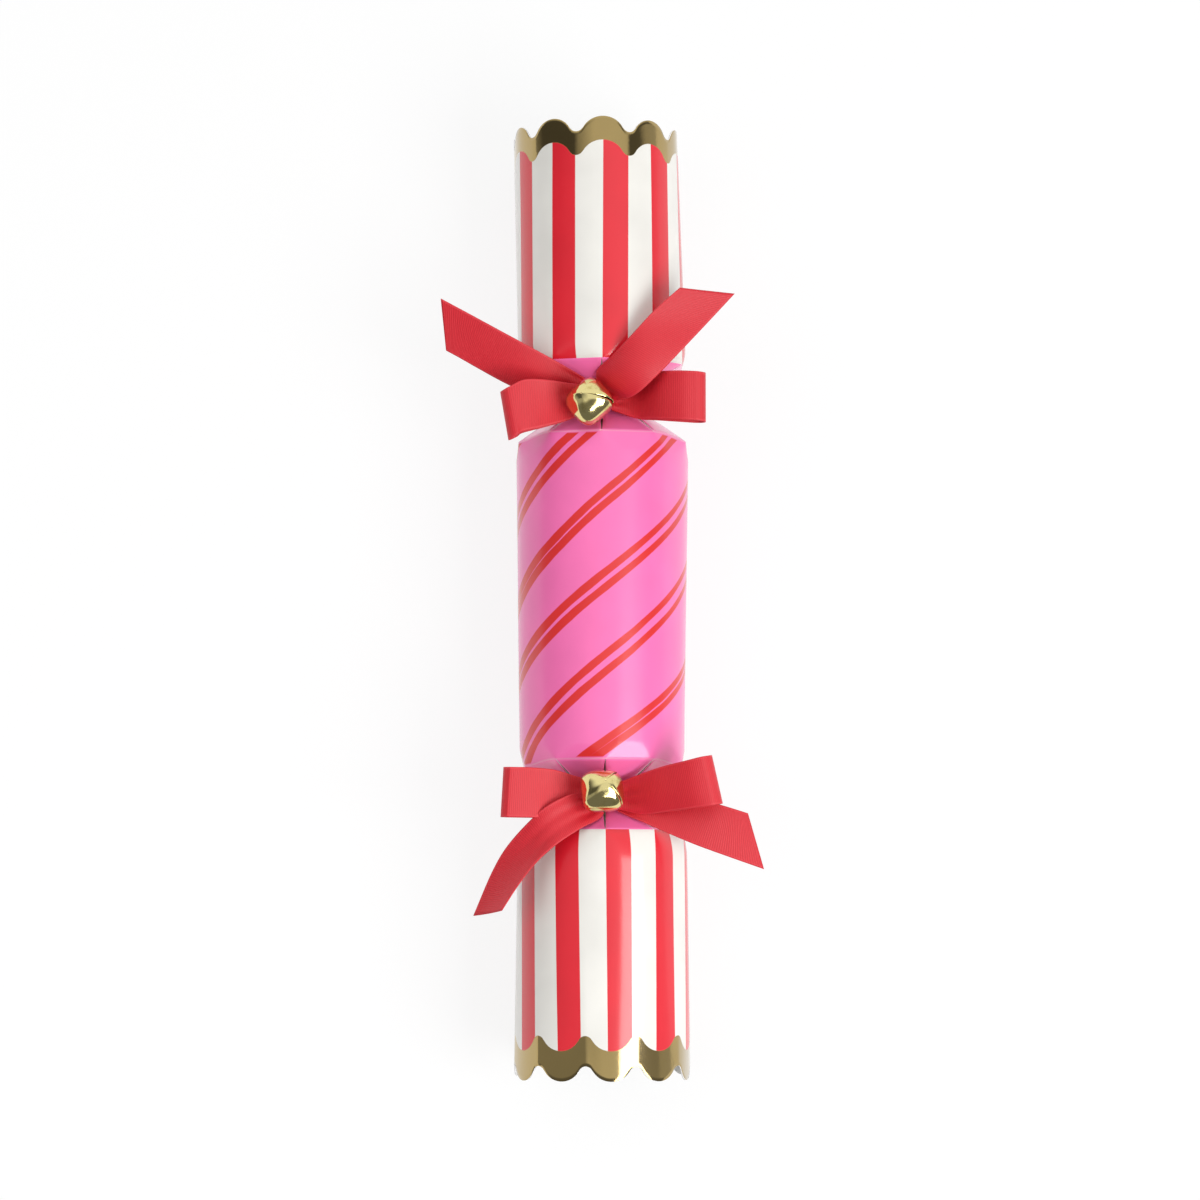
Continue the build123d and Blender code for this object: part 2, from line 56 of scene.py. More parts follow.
# %% Main sizes
MM = 0.001
PANELS = 10                 # tabs round each choke, and scallops round each rim
PANEL = 360.0 / PANELS
HALF_PANEL = PANEL / 2
APOTHEM = cos(radians(HALF_PANEL))

BARREL_RADIUS = 27.0
BARREL_SPREAD = 0.0005      # share by which the barrel widens with each millimetre to the far end
BARREL_FOLD = 52.0          # from the barrel's middle to its folds
BARREL_FAR_CORNER = 27.4    # radius at the corners of each folded ring
BARREL_NEAR_CORNER = 26.9
FAR_CORNER = 26.9
NEAR_CORNER = 26.5
FAR_TURN = -2.2             # degrees by which the folds at a choke lie off the top
NEAR_TURN = 0.2
FOLD_ZONE = 16.0            # stretch of finer rows next to a fold
BARREL_FAR_BLEND = 6.0      # length over which each folded ring turns round
BARREL_NEAR_BLEND = 5.0
FAR_BLEND = 6.0
NEAR_BLEND = 9.0
NECK_RADIUS = 13.0
NECK_LENGTH = 6.0
CARD = 0.45
FLAT_DROP = BARREL_RADIUS * APOTHEM

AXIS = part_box("barrel_wrap")[1][2] / MM - BARREL_RADIUS
FAR_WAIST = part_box("barrel_wrap")[1][1] / MM
NEAR_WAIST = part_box("barrel_wrap")[0][1] / MM
FAR_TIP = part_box("far_frill")[1][1] / MM
NEAR_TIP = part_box("near_frill")[0][1] / MM
FAR_FOLD = 2 * FAR_WAIST - BARREL_FOLD
NEAR_FOLD = 2 * NEAR_WAIST + BARREL_FOLD
joints = {joint["name"]: joint for joint in frame["record"]["behaviour"]["joints"]}
print("axis height", round(AXIS, 2), "waists", FAR_WAIST, NEAR_WAIST, "folds", FAR_FOLD, NEAR_FOLD)

# %% [markdown]
# The camera comes first, because everything after it is judged through it. It looks almost straight
# down through a long lens, from a metre and a half away and a little towards the near end.

# %% Camera
SENSOR = 36.0               # width of the sensor, in mm
PICTURE = 1200.0            # width of the picture, in pixels
FOCAL = 4679.0              # focal length, in the same pixels
DISTANCE = 1.5              # in metres, as is the target
TARGET = Vector((-0.00074, 0.0, AXIS * MM))
TOWARDS_CAMERA = Vector((-0.0314, -0.0732, 0.9968)).normalized()


def place_object(name, data):
    """New object in the scene."""
    item = bpy.data.objects.new(name, data)
    bpy.context.scene.collection.objects.link(item)
    return item


camera_data = bpy.data.cameras.new("camera")
camera_data.sensor_width = SENSOR
camera_data.lens = SENSOR * FOCAL / PICTURE
camera = place_object("camera", camera_data)
look = -TOWARDS_CAMERA
right = look.cross(Vector((0, 1, 0))).normalized()
up = right.cross(look)
camera.matrix_world = Matrix.Translation(TARGET + DISTANCE * TOWARDS_CAMERA) @ Matrix(
    (right, up, TOWARDS_CAMERA)).transposed().to_4x4()
bpy.context.scene.camera = camera
bpy.context.scene.view_settings.view_transform = "Standard"
print("lens", round(camera_data.lens, 1), "mm")

# %% [markdown]
# Node trees are long to write by hand, so a few small helpers keep the lesson readable. They add a node
# and fill its inputs, do arithmetic, make noise, and mix two colours by a mask.


# %% Node helpers
def feed(tree, node, inputs=None, **more):
    """Fills a node's inputs, each with another node's socket or with a plain value.

    An input goes by its number, or by its name with underscores for spaces.
    """
    for label, value in {**(inputs or {}), **more}.items():
        socket = node.inputs[label.replace("_", " ") if isinstance(label, str) else label]
        if isinstance(value, bpy.types.NodeSocket):
            tree.links.new(value, socket)
        else:
            socket.default_value = value
    return node


def add(tree, kind, inputs=None, **settings):
    node = tree.nodes.new(kind)
    for name, value in settings.items():
        setattr(node, name, value)
    return feed(tree, node, inputs)


def calc(tree, operation, a, b=0.0, c=0.0):
    return add(tree, "ShaderNodeMath", {0: a, 1: b, 2: c}, operation=operation).outputs[0]


def step_up(tree, value, low, high):
    """0 below low, 1 above high, smooth between them."""
    node = add(tree, "ShaderNodeMapRange", {"Value": value, "From Min": low, "From Max": high},
               interpolation_type="SMOOTHSTEP")
    return node.outputs["Result"]


def noise(tree, place, scale, detail, **more):
    inputs = {"Vector": place, "Scale": scale, "Detail": detail, **more}
    return add(tree, "ShaderNodeTexNoise", inputs).outputs["Fac"]


def blend(tree, mask, *colours):
    """The first colour where the mask is 0, the second where it is 1."""
    first, second = ((*colour, 1.0) if isinstance(colour, tuple) else colour for colour in colours)
    return add(tree, "ShaderNodeMix", {"Factor": mask, 6: first, 7: second}, data_type="RGBA").outputs[2]


def new_group(name, outputs, **inputs):
    """Shader group with number inputs (name=default) and number outputs, and a point's place in it."""
    tree = bpy.data.node_groups.new(name, "ShaderNodeTree")
    for label, default in inputs.items():
        socket = tree.interface.new_socket(
            label.replace("_", " "), in_out="INPUT", socket_type="NodeSocketFloat")
        socket.default_value = default
    for label in outputs:
        tree.interface.new_socket(label, in_out="OUTPUT", socket_type="NodeSocketFloat")
    place = tree.nodes.new("ShaderNodeTexCoord").outputs["Object"]
    return tree, tree.nodes.new("NodeGroupInput").outputs, tree.nodes.new("NodeGroupOutput"), place


def new_material(name, **inputs):
    """Material with one Principled shader, whose plain values are set on its own sockets."""
    material = bpy.data.materials.new(name)
    material.use_nodes = True
    tree = material.node_tree
    return material, tree, feed(tree, tree.nodes["Principled BSDF"], **inputs)


def sheet_place(tree):
    """How far across and along its sheet a point lies, from the UV map."""
    print_map = add(tree, "ShaderNodeUVMap", uv_map="print").outputs["UV"]
    split = add(tree, "ShaderNodeSeparateXYZ", {0: print_map})
    return split.outputs["X"], split.outputs["Y"]


def bump(tree, shader, height, strength, distance):
    node = add(tree, "ShaderNodeBump", {"Height": height, "Strength": strength, "Distance": distance})
    feed(tree, shader, Normal=node.outputs["Normal"])


print("helpers ready")

# %% [markdown]
# Card is never quite even. Its fibres make a fine tooth, handling leaves faint dull patches on the
# gloss, and the board cockles a little as it dries. All the card and paper here shares one group that
# gives those three effects, so each material only says how strong they are.

# %% Card surface group
card_surface, given, result, place = new_group(
    "card surface", ("Roughness", "Height", "Tone"), Fibre_Size=900.0, Dull=0.1, Gloss=0.3)
do = partial(calc, card_surface)
patches = noise(card_surface, place, 60.0, 2.0)
cockle = noise(card_surface, place, 28.0, 1.0)
tooth = do("MULTIPLY", noise(card_surface, place, given["Fibre Size"], 3.0), 0.25)
tone = add(card_surface, "ShaderNodeMapRange", {
    "Value": patches, "From Min": 0.3, "From Max": 0.7, "To Min": 0.96, "To Max": 1.04})
feed(card_surface, result, Roughness=do("MULTIPLY_ADD", patches, given["Dull"], given["Gloss"]),
     Height=do("ADD", tooth, cockle), Tone=tone.outputs["Result"])
print("group", card_surface.name)

# %% Card finishes
PINK = (0.86, 0.152, 0.42)
# painted highlight: the paler pink that is laid along each fold
CREASE_HIGHLIGHT_PINK = (0.96, 0.42, 0.62)
STROKE_RED = (0.66, 0.016, 0.014)
STRIPE_RED = (0.68, 0.008, 0.022)
STRIPE_WHITE = (0.76, 0.745, 0.70)
FOIL = (0.42, 0.30, 0.10)


def new_card(name, coat=1.0, coat_roughness=0.2):
    return new_material(name, Coat_Weight=coat, Coat_Roughness=coat_roughness, Specular_IOR_Level=0.25)


def finish_card(tree, shader, colour, gloss, dull, relief, fibre_size=900.0):
    """Gives a shader the card surface, with its colour printed slightly unevenly over the sheet."""
    surface = add(tree, "ShaderNodeGroup", {"Fibre Size": fibre_size, "Dull": dull, "Gloss": gloss},
                  node_tree=card_surface).outputs
    tinted = add(tree, "ShaderNodeVectorMath", {0: colour, "Scale": surface["Tone"]}, operation="SCALE")
    feed(tree, shader, Base_Color=tinted.outputs[0], Roughness=surface["Roughness"])
    bump(tree, shader, surface["Height"], 0.25, relief)
    return surface


def card_material(name, colour, gloss, dull, relief=0.0003, coat=0.0, fibre_size=900.0):
    material, tree, shader = new_card(name, coat)
    finish_card(tree, shader, colour, gloss, dull, relief, fibre_size)
    return material


card_back = card_material("card_back", (0.80, 0.79, 0.76), 0.6, 0.2)
card_edge = card_material("card_edge", (0.92, 0.90, 0.89), 0.7, 0.2)
# The tabs are the barrel's card, but their pink is lighter than PINK: painted light that brightens the tabs
# where they lie in shade.
tab_print = card_material("tab_print", (0.94, 0.18, 0.47), 0.4, 0.15, coat=1.0)
print("card finishes", card_back.name, card_edge.name, tab_print.name)

# %% [markdown]
# The barrel is printed with pairs of slanting strokes on pink, five of them round the tube, as on a
# sugar cane. Each point of the sheet knows how far round and how far along it lies, as its UV map.
# One sum of the two turns a slanting stroke into a plain band, which noise then makes hand-drawn.
# No two pairs are drawn alike, so a ramp of steps looks up the place, the swing and the gap of each.

# %% Barrel print
HELIX_PITCH = 128.5         # rise of a stroke in one turn
STROKE_STARTS = 5
STROKE_OFFSET = 0.315       # where the lanes of the strokes start, as a share of a lane
STROKE_HALF = 0.060         # half a stroke's width, as a share of a lane
PAIR_FIRST, PAIR_LAST = -12, 4
PAIR_COUNT = PAIR_LAST - PAIR_FIRST + 1
PAIRS = {                   # number: place in its lane, swing round the tube, half the gap between strokes
    -8: (0.2, 0.0, 0.09), -7: (0.459, -0.086, 0.060), -6: (0.460, 0.069, 0.106), -5: (0.494, 0.043, 0.093),
    -4: (0.500, 0.126, 0.078), -3: (0.555, 0.126, 0.105), -2: (0.50, 0.05, 0.09)}
PLAIN_PAIR = (0.50, 0.05, 0.09)


def pair_step(number):
    return (number - PAIR_FIRST) / PAIR_COUNT


def pair_colour(place, swing, half_gap):
    """The ramp's colour that carries a pair's values. The swing may be negative, so it is raised."""
    return (place, swing + 0.5, half_gap, 1.0)


def stroke_mask(tree, across, middle, half_width):
    """1 inside a brushed stroke round the value middle of the slanting coordinate."""
    away = calc(tree, "ABSOLUTE", calc(tree, "SUBTRACT", across, middle))
    return step_up(tree, calc(tree, "SUBTRACT", half_width, away), -0.006, 0.006)


barrel_print, tree, shader = new_card("barrel_print")
do = partial(calc, tree)
turns, along = sheet_place(tree)
lanes = do("SUBTRACT", do("DIVIDE", along, HELIX_PITCH / STROKE_STARTS), do("MULTIPLY", turns, STROKE_STARTS))
lanes = do("ADD", lanes, STROKE_OFFSET)
which = do("FLOOR", lanes)
drawn_pairs = tree.nodes.new("ShaderNodeValToRGB")
steps = drawn_pairs.color_ramp
steps.interpolation = "CONSTANT"
steps.elements[1].position = pair_step(PAIR_LAST)
for element in steps.elements:
    element.color = pair_colour(*PLAIN_PAIR)
for number, values in PAIRS.items():
    steps.elements.new(pair_step(number)).color = pair_colour(*values)
feed(tree, drawn_pairs, Fac=do("DIVIDE", do("SUBTRACT", which, PAIR_FIRST - 0.5), PAIR_COUNT))
pair = add(tree, "ShaderNodeSeparateColor", {0: drawn_pairs.outputs["Color"]}).outputs
round_turn = do("SINE", do("MULTIPLY", turns, 2 * pi))
bent = do("MULTIPLY", do("SUBTRACT", pair["Green"], 0.5), round_turn)
drawn = add(tree, "ShaderNodeCombineXYZ", {0: do("MULTIPLY", turns, 9.0), 1: do("MULTIPLY", which, 3.7)})
wobble = do("MULTIPLY", do("SUBTRACT", noise(tree, drawn.outputs[0], 1.0, 1.5), 0.5), 0.04)
across = do("SUBTRACT", do("SUBTRACT", lanes, which), do("ADD", pair["Red"], bent))
across = do("ADD", across, wobble)
thin = do("MULTIPLY", do("SUBTRACT", noise(tree, drawn.outputs[0], 2.3, 2.0), 0.5), 0.02)
thick = do("MULTIPLY_ADD", round_turn, -0.016, STROKE_HALF)
upper = stroke_mask(tree, across, pair["Blue"], do("ADD", thick, thin))
lower = stroke_mask(tree, across, do("MULTIPLY", pair["Blue"], -1.0), do("SUBTRACT", thick, thin))
from_middle = do("ABSOLUTE", along)
on_barrel = step_up(tree, from_middle, BARREL_FOLD - 0.4, BARREL_FOLD - 1.0)
inked = do("MULTIPLY", do("MAXIMUM", upper, lower), on_barrel)
# A paler pink along each fold of the barrel is a painted highlight on the crease.
crease_highlight = do("MULTIPLY", step_up(tree, from_middle, BARREL_FOLD - 0.7, BARREL_FOLD), 0.6)
ink = blend(tree, crease_highlight, blend(tree, inked, PINK, STROKE_RED), CREASE_HIGHLIGHT_PINK)
finish_card(tree, shader, ink, 0.4, 0.14, 0.00035)
print("barrel print", len(tree.nodes), "nodes")

# %% [markdown]
# The ends carry the classic red and white stripes, one pair to a panel, and a band of gold foil that
# follows the scalloped rim. Here the UV map holds the panel number and the distance from the rim, so
# a stripe is the fraction of the first and the foil is where the second is small. Foil is metal, so
# the same mask also drives Metallic and the gloss.


# %% Frill print
def frill_material(name, foil_width):
    material, tree, shader = new_card(name, coat_roughness=0.16)
    do = partial(calc, tree)
    panel, from_rim = sheet_place(tree)
    stripe = do("FRACT", panel)
    red = do("MULTIPLY", step_up(tree, stripe, -0.008, 0.008), step_up(tree, stripe, 0.490, 0.474))
    foil = step_up(tree, from_rim, foil_width + 0.15, foil_width - 0.15)
    ink = blend(tree, red, STRIPE_WHITE, STRIPE_RED)
    surface = finish_card(tree, shader, blend(tree, foil, ink, FOIL), 0.4, 0.14, 0.0003)
    shine = do("MULTIPLY_ADD", foil, -0.78, 1.0)
    feed(tree, shader, Roughness=do("MULTIPLY", surface["Roughness"], shine), Metallic=foil)
    return material


far_frill_print = frill_material("far_frill_print", 7.6)
near_frill_print = frill_material("near_frill_print", 9.5)
print("frill prints", far_frill_print.name, near_frill_print.name)

# %% [markdown]
# A mesh is often a grid: rows of points along a sheet and columns across it. One helper joins such a
# grid with faces, lays out its UV map and turns its faces outwards. Others make it a piece, and give it
# a thickness.


# %% Mesh helpers
def link_piece(name, mesh, *materials):
    for material in materials:
        mesh.materials.append(material)
    return place_object(name, mesh)


def grid_mesh(name, grids, outward, weld=False):
    """Mesh of one or more grids of (point in mm, (u, v)), facing the way that outward(point) points."""
    build = bmesh.new()
    layer = build.loops.layers.uv.new("print")
    for grid in grids:
        rows = [[(build.verts.new(Vector(point) * MM), uv) for point, uv in row] for row in grid]
        for low, high in zip(rows, rows[1:]):
            for column in range(len(low) - 1):
                corners = (low[column], low[column + 1], high[column + 1], high[column])
                face = build.faces.new([vert for vert, _ in corners])
                for loop, (_, uv) in zip(face.loops, corners):
                    loop[layer].uv = uv
    if weld:
        bmesh.ops.remove_doubles(build, verts=build.verts, dist=0.001 * MM)
    build.normal_update()
    leaning = sum(face.normal.dot(outward(face.calc_center_median() / MM)) * face.calc_area()
                  for face in build.faces)
    if leaning < 0:
        bmesh.ops.reverse_faces(build, faces=build.faces)
    mesh = bpy.data.meshes.new(name)
    build.to_mesh(mesh)
    build.free()
    mesh.shade_smooth()
    return mesh


def from_axis(point):
    return Vector((point[0], 0.0, point[2] - AXIS))


def thicken(piece, thickness, offset=0.0):
    wall = piece.modifiers.new("thickness", "SOLIDIFY")
    wall.thickness = thickness * MM
    wall.offset = offset
    return wall


def card_thickness(piece):
    """Gives a sheet its thickness inwards, with a plain back and pale cut edges."""
    piece.data.materials.append(card_back)
    piece.data.materials.append(card_edge)
    wall = thicken(piece, CARD, -1.0)
    wall.use_even_offset = True
    wall.material_offset = 1
    wall.material_offset_rim = 2
    piece.modifiers.new("shading", "WEIGHTED_NORMAL").keep_sharp = True


print("mesh helpers ready")

# %% [markdown]
# Where a card tube is folded in, its end becomes a ten-sided ring, and the card eases from those flats
# to round in a special way: flat triangles stand on the folds, and slices of cone fan out from the
# corners between them. A section part of the way along is a polygon with rounded corners, which gives
# the radius for any angle. The same rule serves the barrel and both ends.

# %% Radius of the card tube
LAP_START, LAP_STOP = 168, 552   # the sheet goes round once and laps over itself underneath
LAP_RISE = 0.5                   # a card and its glue
COLUMN_STEP = 1.5
COLUMN_COUNT = int((LAP_STOP - LAP_START) / COLUMN_STEP) + 1
COLUMNS = [LAP_START + COLUMN_STEP * column for column in range(COLUMN_COUNT)]


def off_nearest(angle, period):
    """Degrees from the nearest multiple of a period, negative before it."""
    return (angle + period / 2) % period - period / 2


def folded_radius(angle, share, corner_radius):
    """Radius at an angle in degrees, where share goes from 0 at the fold to 1 where the tube is round."""
    corner = (1.0 - share) * corner_radius
    bend = share * BARREL_RADIUS
    turn = radians(abs(off_nearest(angle, PANEL)))
    edge = atan2(bend * sin(radians(HALF_PANEL)), corner + bend * APOTHEM)
    if turn < edge:
        return corner * cos(turn) + sqrt(max(0.0, bend ** 2 - (corner * sin(turn)) ** 2))
    return (corner * APOTHEM + bend) / cos(radians(HALF_PANEL) - turn)


def resting(angle, radius):
    """The tube lies on its flat underside, where the sheet is glued to itself."""
    turn = radians(off_nearest(angle - 180.0, 360.0))
    return min(radius, FLAT_DROP / cos(turn)) if abs(turn) < radians(40) else radius


def lap_rise(angle):
    """The outer layer of the lap lies further out than the inner one."""
    return LAP_RISE * min(1.0, max(0.0, (angle - 520.0) / 7.0))


def cockled(angle, along):
    """Slight unevenness of rolled card, so that reflections on it are not ruler straight."""
    turn = radians(angle)
    return 0.10 * sin(3 * turn + 0.031 * along) + 0.07 * sin(5 * turn - 0.05 * along + 1.3)


def on_tube(angle, radius, y, spread=1.0, shift=0.0):
    turn = radians(angle)
    return (shift + spread * radius * sin(turn), y, AXIS + radius * cos(turn))


print("columns round the tube", len(COLUMNS))

# %% [markdown]
# The barrel sheet runs from fold to fold. Its rows crowd together near the folds, where the flats are.

# %% Barrel sheet
SIDE_SKEW = -2.0                       # shift of the folds at the barrel's sides
SKEW_START, SKEW_RANGE = 40.0, 35.0    # degrees off the top where it starts, and that it takes
fine_rows = [FOLD_ZONE * (row / 20) for row in range(21)]
barrel_rows = [-BARREL_FOLD + step for step in fine_rows]
barrel_rows += [(BARREL_FOLD - FOLD_ZONE) * (row / 12 - 1.0) for row in range(1, 24)]
barrel_rows += [BARREL_FOLD - step for step in reversed(fine_rows)]


def fold_skew(angle):
    """The folds at the sides of the barrel lie a little nearer to the near end than those on top."""
    part = min(1.0, max(0.0, (abs(off_nearest(angle, 360.0)) - SKEW_START) / SKEW_RANGE))
    return SIDE_SKEW * part * part * (3.0 - 2.0 * part)


def barrel_point(angle, y):
    corner, turn, easing = (BARREL_FAR_CORNER, FAR_TURN, BARREL_FAR_BLEND) if y > 0 else (
        BARREL_NEAR_CORNER, NEAR_TURN, BARREL_NEAR_BLEND)
    from_fold = BARREL_FOLD - abs(y)
    share = min(1.0, from_fold / easing)
    radius = folded_radius(angle - turn, share, corner) + share * cockled(angle, y)
    skew = fold_skew(angle) * max(0.0, 1.0 - from_fold / FOLD_ZONE)
    return on_tube(angle, resting(angle, radius) + lap_rise(angle), y + skew, 1.0 + BARREL_SPREAD * y)


barrel_grid = [[(barrel_point(angle, y), (angle / 360.0, y)) for angle in COLUMNS] for y in barrel_rows]
barrel_sheet = link_piece("barrel_sheet", grid_mesh("barrel_sheet", [barrel_grid], from_axis), barrel_print)
card_thickness(barrel_sheet)
print("barrel sheet", len(barrel_sheet.data.polygons), "faces")

# %% [markdown]
# Each end is the same sheet, but its rim is cut in scallops and creased a little at every notch, so
# towards the rim the tube turns from round into ten nearly flat lobes. Every column of the grid is
# stretched to end on its own point of the scalloped edge, which keeps that edge clean.

# %% Scalloped ends
FRILL_ROWS = 56
SCALLOP_DEPTH = 4.8
NOTCH_RADIUS = 2.6
LOBE_HALF = BARREL_RADIUS * sin(radians(HALF_PANEL))
LOBE_RADIUS = (LOBE_HALF ** 2 + SCALLOP_DEPTH ** 2) / (2 * SCALLOP_DEPTH) - NOTCH_RADIUS


def scallop_drop(angle):
    """How far the rim falls back from the scallop tips at an angle. Lobes stand on the slit lines."""
    along = LOBE_HALF * tan(radians(abs(off_nearest(angle, PANEL)))) / tan(radians(HALF_PANEL))
    to_notch = LOBE_HALF - along
    middle = SCALLOP_DEPTH - NOTCH_RADIUS
    lobe = LOBE_RADIUS - sqrt(max(0.0, LOBE_RADIUS ** 2 - along ** 2)) if along < LOBE_RADIUS else 99.0
    if to_notch < NOTCH_RADIUS:
        notch = middle + sqrt(NOTCH_RADIUS ** 2 - to_notch ** 2)
        if lobe > middle and to_notch < NOTCH_RADIUS * LOBE_HALF / (LOBE_RADIUS + NOTCH_RADIUS):
            return notch
    return lobe


def frill_sheet(name, fold, tip, corner, easing, rim_half_width, lean, turns, crease, flare, cuts, material):
    """One scalloped end. It is twisted a little, from the first of turns at the fold to the second at
    the rim, and its scallops lie off the stripes by the third. flare pushes each lobe out or in, and
    cuts says how much shorter the sides and the underside are. crease is 1 where the lobes are flat."""
    side = 1.0 if tip > 0 else -1.0
    length = abs(tip) - abs(fold)
    rim = rim_half_width / BARREL_RADIUS - 1.0
    grid = []
    for row in range(FRILL_ROWS + 1):
        line = []
        for angle in COLUMNS:
            upright = cos(radians(angle))
            from_lobe = angle - turns[2]
            drop = scallop_drop(from_lobe) + cuts[0] * (1.0 - upright) + cuts[1] * max(0.0, -upright)
            reach = (length - drop) * row / FRILL_ROWS
            share = min(1.0, reach / easing)
            share *= 2.0 - share
            radius = folded_radius(angle, share, corner)
            late = max(0.0, (reach - FOLD_ZONE) / (length - FOLD_ZONE)) ** 1.5
            off_lobe = radians(off_nearest(from_lobe, PANEL))
            lobe = int((from_lobe + HALF_PANEL) // PANEL) % PANELS
            flat = BARREL_RADIUS * APOTHEM / cos(off_lobe)
            radius += late * (crease * (flat - BARREL_RADIUS) + flare[lobe] * cos(5 * off_lobe) ** 2)
            radius += share * (1.0 - late) * cockled(angle, reach)
            twisted = angle + turns[0] + (turns[1] - turns[0]) * reach / length
            radius = resting(twisted, radius) + lap_rise(angle)
            wider = rim * reach / length
            spread = 1.0 + wider * sin(radians(twisted)) ** 2
            radius *= 1.0 - wider * max(0.0, cos(radians(twisted))) ** 3
            point = on_tube(twisted, radius, fold + side * reach, spread, -reach * sin(radians(lean)))
            line.append((point, (angle / PANEL, length - drop - reach)))
        grid.append(line)
    piece = link_piece(name, grid_mesh(name, [grid], from_axis), material)
    card_thickness(piece)
    return piece


far_frill_sheet = frill_sheet(
    "far_frill_sheet", FAR_FOLD, FAR_TIP, FAR_CORNER, FAR_BLEND, 26.4, 1.7, (-1.8, 3.6, 0.0), 0.15,
    (0.1, -0.3, 0.3, 0, 0, 0, 0, 0.3, 0.2, -0.3), (1.6, 0.0), far_frill_print)
near_frill_sheet = frill_sheet(
    "near_frill_sheet", NEAR_FOLD, NEAR_TIP, NEAR_CORNER, NEAR_BLEND, 28.3, 0.0, (0.3, 2.2, 2.4), 0.5,
    (0.5, 0.2, -0.2, 0, 0, 0, 0, 0.2, 0.0, 0.1), (0.0, 4.5), near_frill_print)
print("ends", len(far_frill_sheet.data.polygons), len(near_frill_sheet.data.polygons), "faces")

# %% [markdown]
# Ten tabs fold in from every ring to the choke. They are all alike, so one tab is drawn once and a
# Geometry Nodes tree repeats it round an axis. Each such tree of the lesson starts and ends in the same
# way, so two helpers do that, and a third turns the result into a plain piece.


# %% Tree that repeats a piece round an axis
def geometry_tree(name, **own_inputs):
    """Geometry Nodes tree with inputs of its own (label=kind) besides those that all trees have."""
    tree = bpy.data.node_groups.new(name, "GeometryNodeTree")
    shared = {"Geometry": "Geometry", "Place": "Vector", "Direction": "Vector", "Material": "Material"}
    for label, kind in (shared | own_inputs).items():
        tree.interface.new_socket(
            label.replace("_", " "), in_out="INPUT", socket_type="NodeSocket" + kind)
    tree.interface.new_socket("Geometry", in_out="OUTPUT", socket_type="NodeSocketGeometry")
    return tree, tree.nodes.new("NodeGroupInput").outputs


def end_tree(tree, geometry, given):
    """Puts what a tree made in its place, makes its copies real and gives them their material."""
    moved = add(tree, "GeometryNodeTransform", {
        "Geometry": geometry, "Translation": given["Place"], "Rotation": given["Direction"]})
    real = add(tree, "GeometryNodeRealizeInstances", {"Geometry": moved.outputs[0]})
    painted = add(tree, "GeometryNodeSetMaterial", {
        "Geometry": real.outputs[0], "Material": given["Material"]})
    feed(tree, tree.nodes.new("NodeGroupOutput"), Geometry=painted.outputs[0])


def grown(name, tree, base=None, **values):
    """Runs a tree on a base mesh, or on none, and returns a plain piece of the result."""
    source = place_object(name + "_source", base or bpy.data.meshes.new("none"))
    modifier = source.modifiers.new("grow", "NODES")
    modifier.node_group = tree
    for socket in tree.interface.items_tree:
        label = socket.name.replace(" ", "_")
        if label in values:
            modifier[socket.identifier] = values[label]
    bpy.context.view_layer.update()
    ready = source.evaluated_get(bpy.context.evaluated_depsgraph_get())
    mesh = bpy.data.meshes.new_from_object(ready)
    mesh.name = name
    bpy.data.objects.remove(source)
    return link_piece(name, mesh)


repeat_tree, given = geometry_tree("repeat round an axis", Count="Int", First_Turn="Float")
do = partial(calc, repeat_tree)
points = add(repeat_tree, "GeometryNodePoints", {"Count": given["Count"]})
number = repeat_tree.nodes.new("GeometryNodeInputIndex").outputs[0]
turn = do("ADD", do("DIVIDE", do("MULTIPLY", number, 2 * pi), given["Count"]), given["First Turn"])
spin = add(repeat_tree, "ShaderNodeCombineXYZ", {"Z": turn})
copies = add(repeat_tree, "GeometryNodeInstanceOnPoints", {
    "Points": points.outputs[0], "Instance": given["Geometry"], "Rotation": spin.outputs[0]})
end_tree(repeat_tree, copies.outputs[0], given)
print("tree", repeat_tree.name, "with", len(repeat_tree.nodes), "nodes")

# %% [markdown]
# A tab is a flat trapezium that leaves its fold, dives to the choke and then runs along it under the
# ribbon. Its cut edges stay a little apart from the next tab's, and it bows outwards slightly.

# %% Tabs
TAB_ROWS, TAB_COLUMNS = 18, 10
FOLD_SLIT, NECK_SLIT = 0.1, 0.5        # half the slit between two tabs, at the fold and at the neck
BEND_LIFT, BEND_RANGE = 0.35, 2.0      # rounding where a tab bends on to the neck
TAB_CUP, TAB_BOW = 0.45, 0.25          # bulge across a tab and along it


def tab_mesh(fold, waist, corner):
    """One tab, with the cracker's axis as Z and its own middle towards -Y."""
    reach = abs(waist - fold)
    way = 1.0 if waist > fold else -1.0
    top, low = corner * APOTHEM, NECK_RADIUS * APOTHEM
    wide = corner * sin(radians(HALF_PANEL)) - FOLD_SLIT
    narrow = NECK_RADIUS * sin(radians(HALF_PANEL)) - NECK_SLIT
    bend = reach - NECK_LENGTH / 2
    grid = []
    for row in range(TAB_ROWS + 1):
        along = reach * row / TAB_ROWS
        fall = min(1.0, along / bend)
        soft = max(0.0, 1.0 - abs(along - bend) / BEND_RANGE) ** 2
        radius = top + (low - top) * fall + BEND_LIFT * soft
        half = wide + (narrow - wide) * fall
        line = []
        for column in range(TAB_COLUMNS + 1):
            across = 2 * column / TAB_COLUMNS - 1.0
            bow = TAB_CUP * (1.0 - across ** 2) * sin(pi * fall) + TAB_BOW * sin(pi * fall)
            line.append(((half * across, -(radius + bow), way * along + fold), (across, along)))
        grid.append(line)
    return grid_mesh("tab", [grid], lambda point: Vector((0, point[1], 0)))


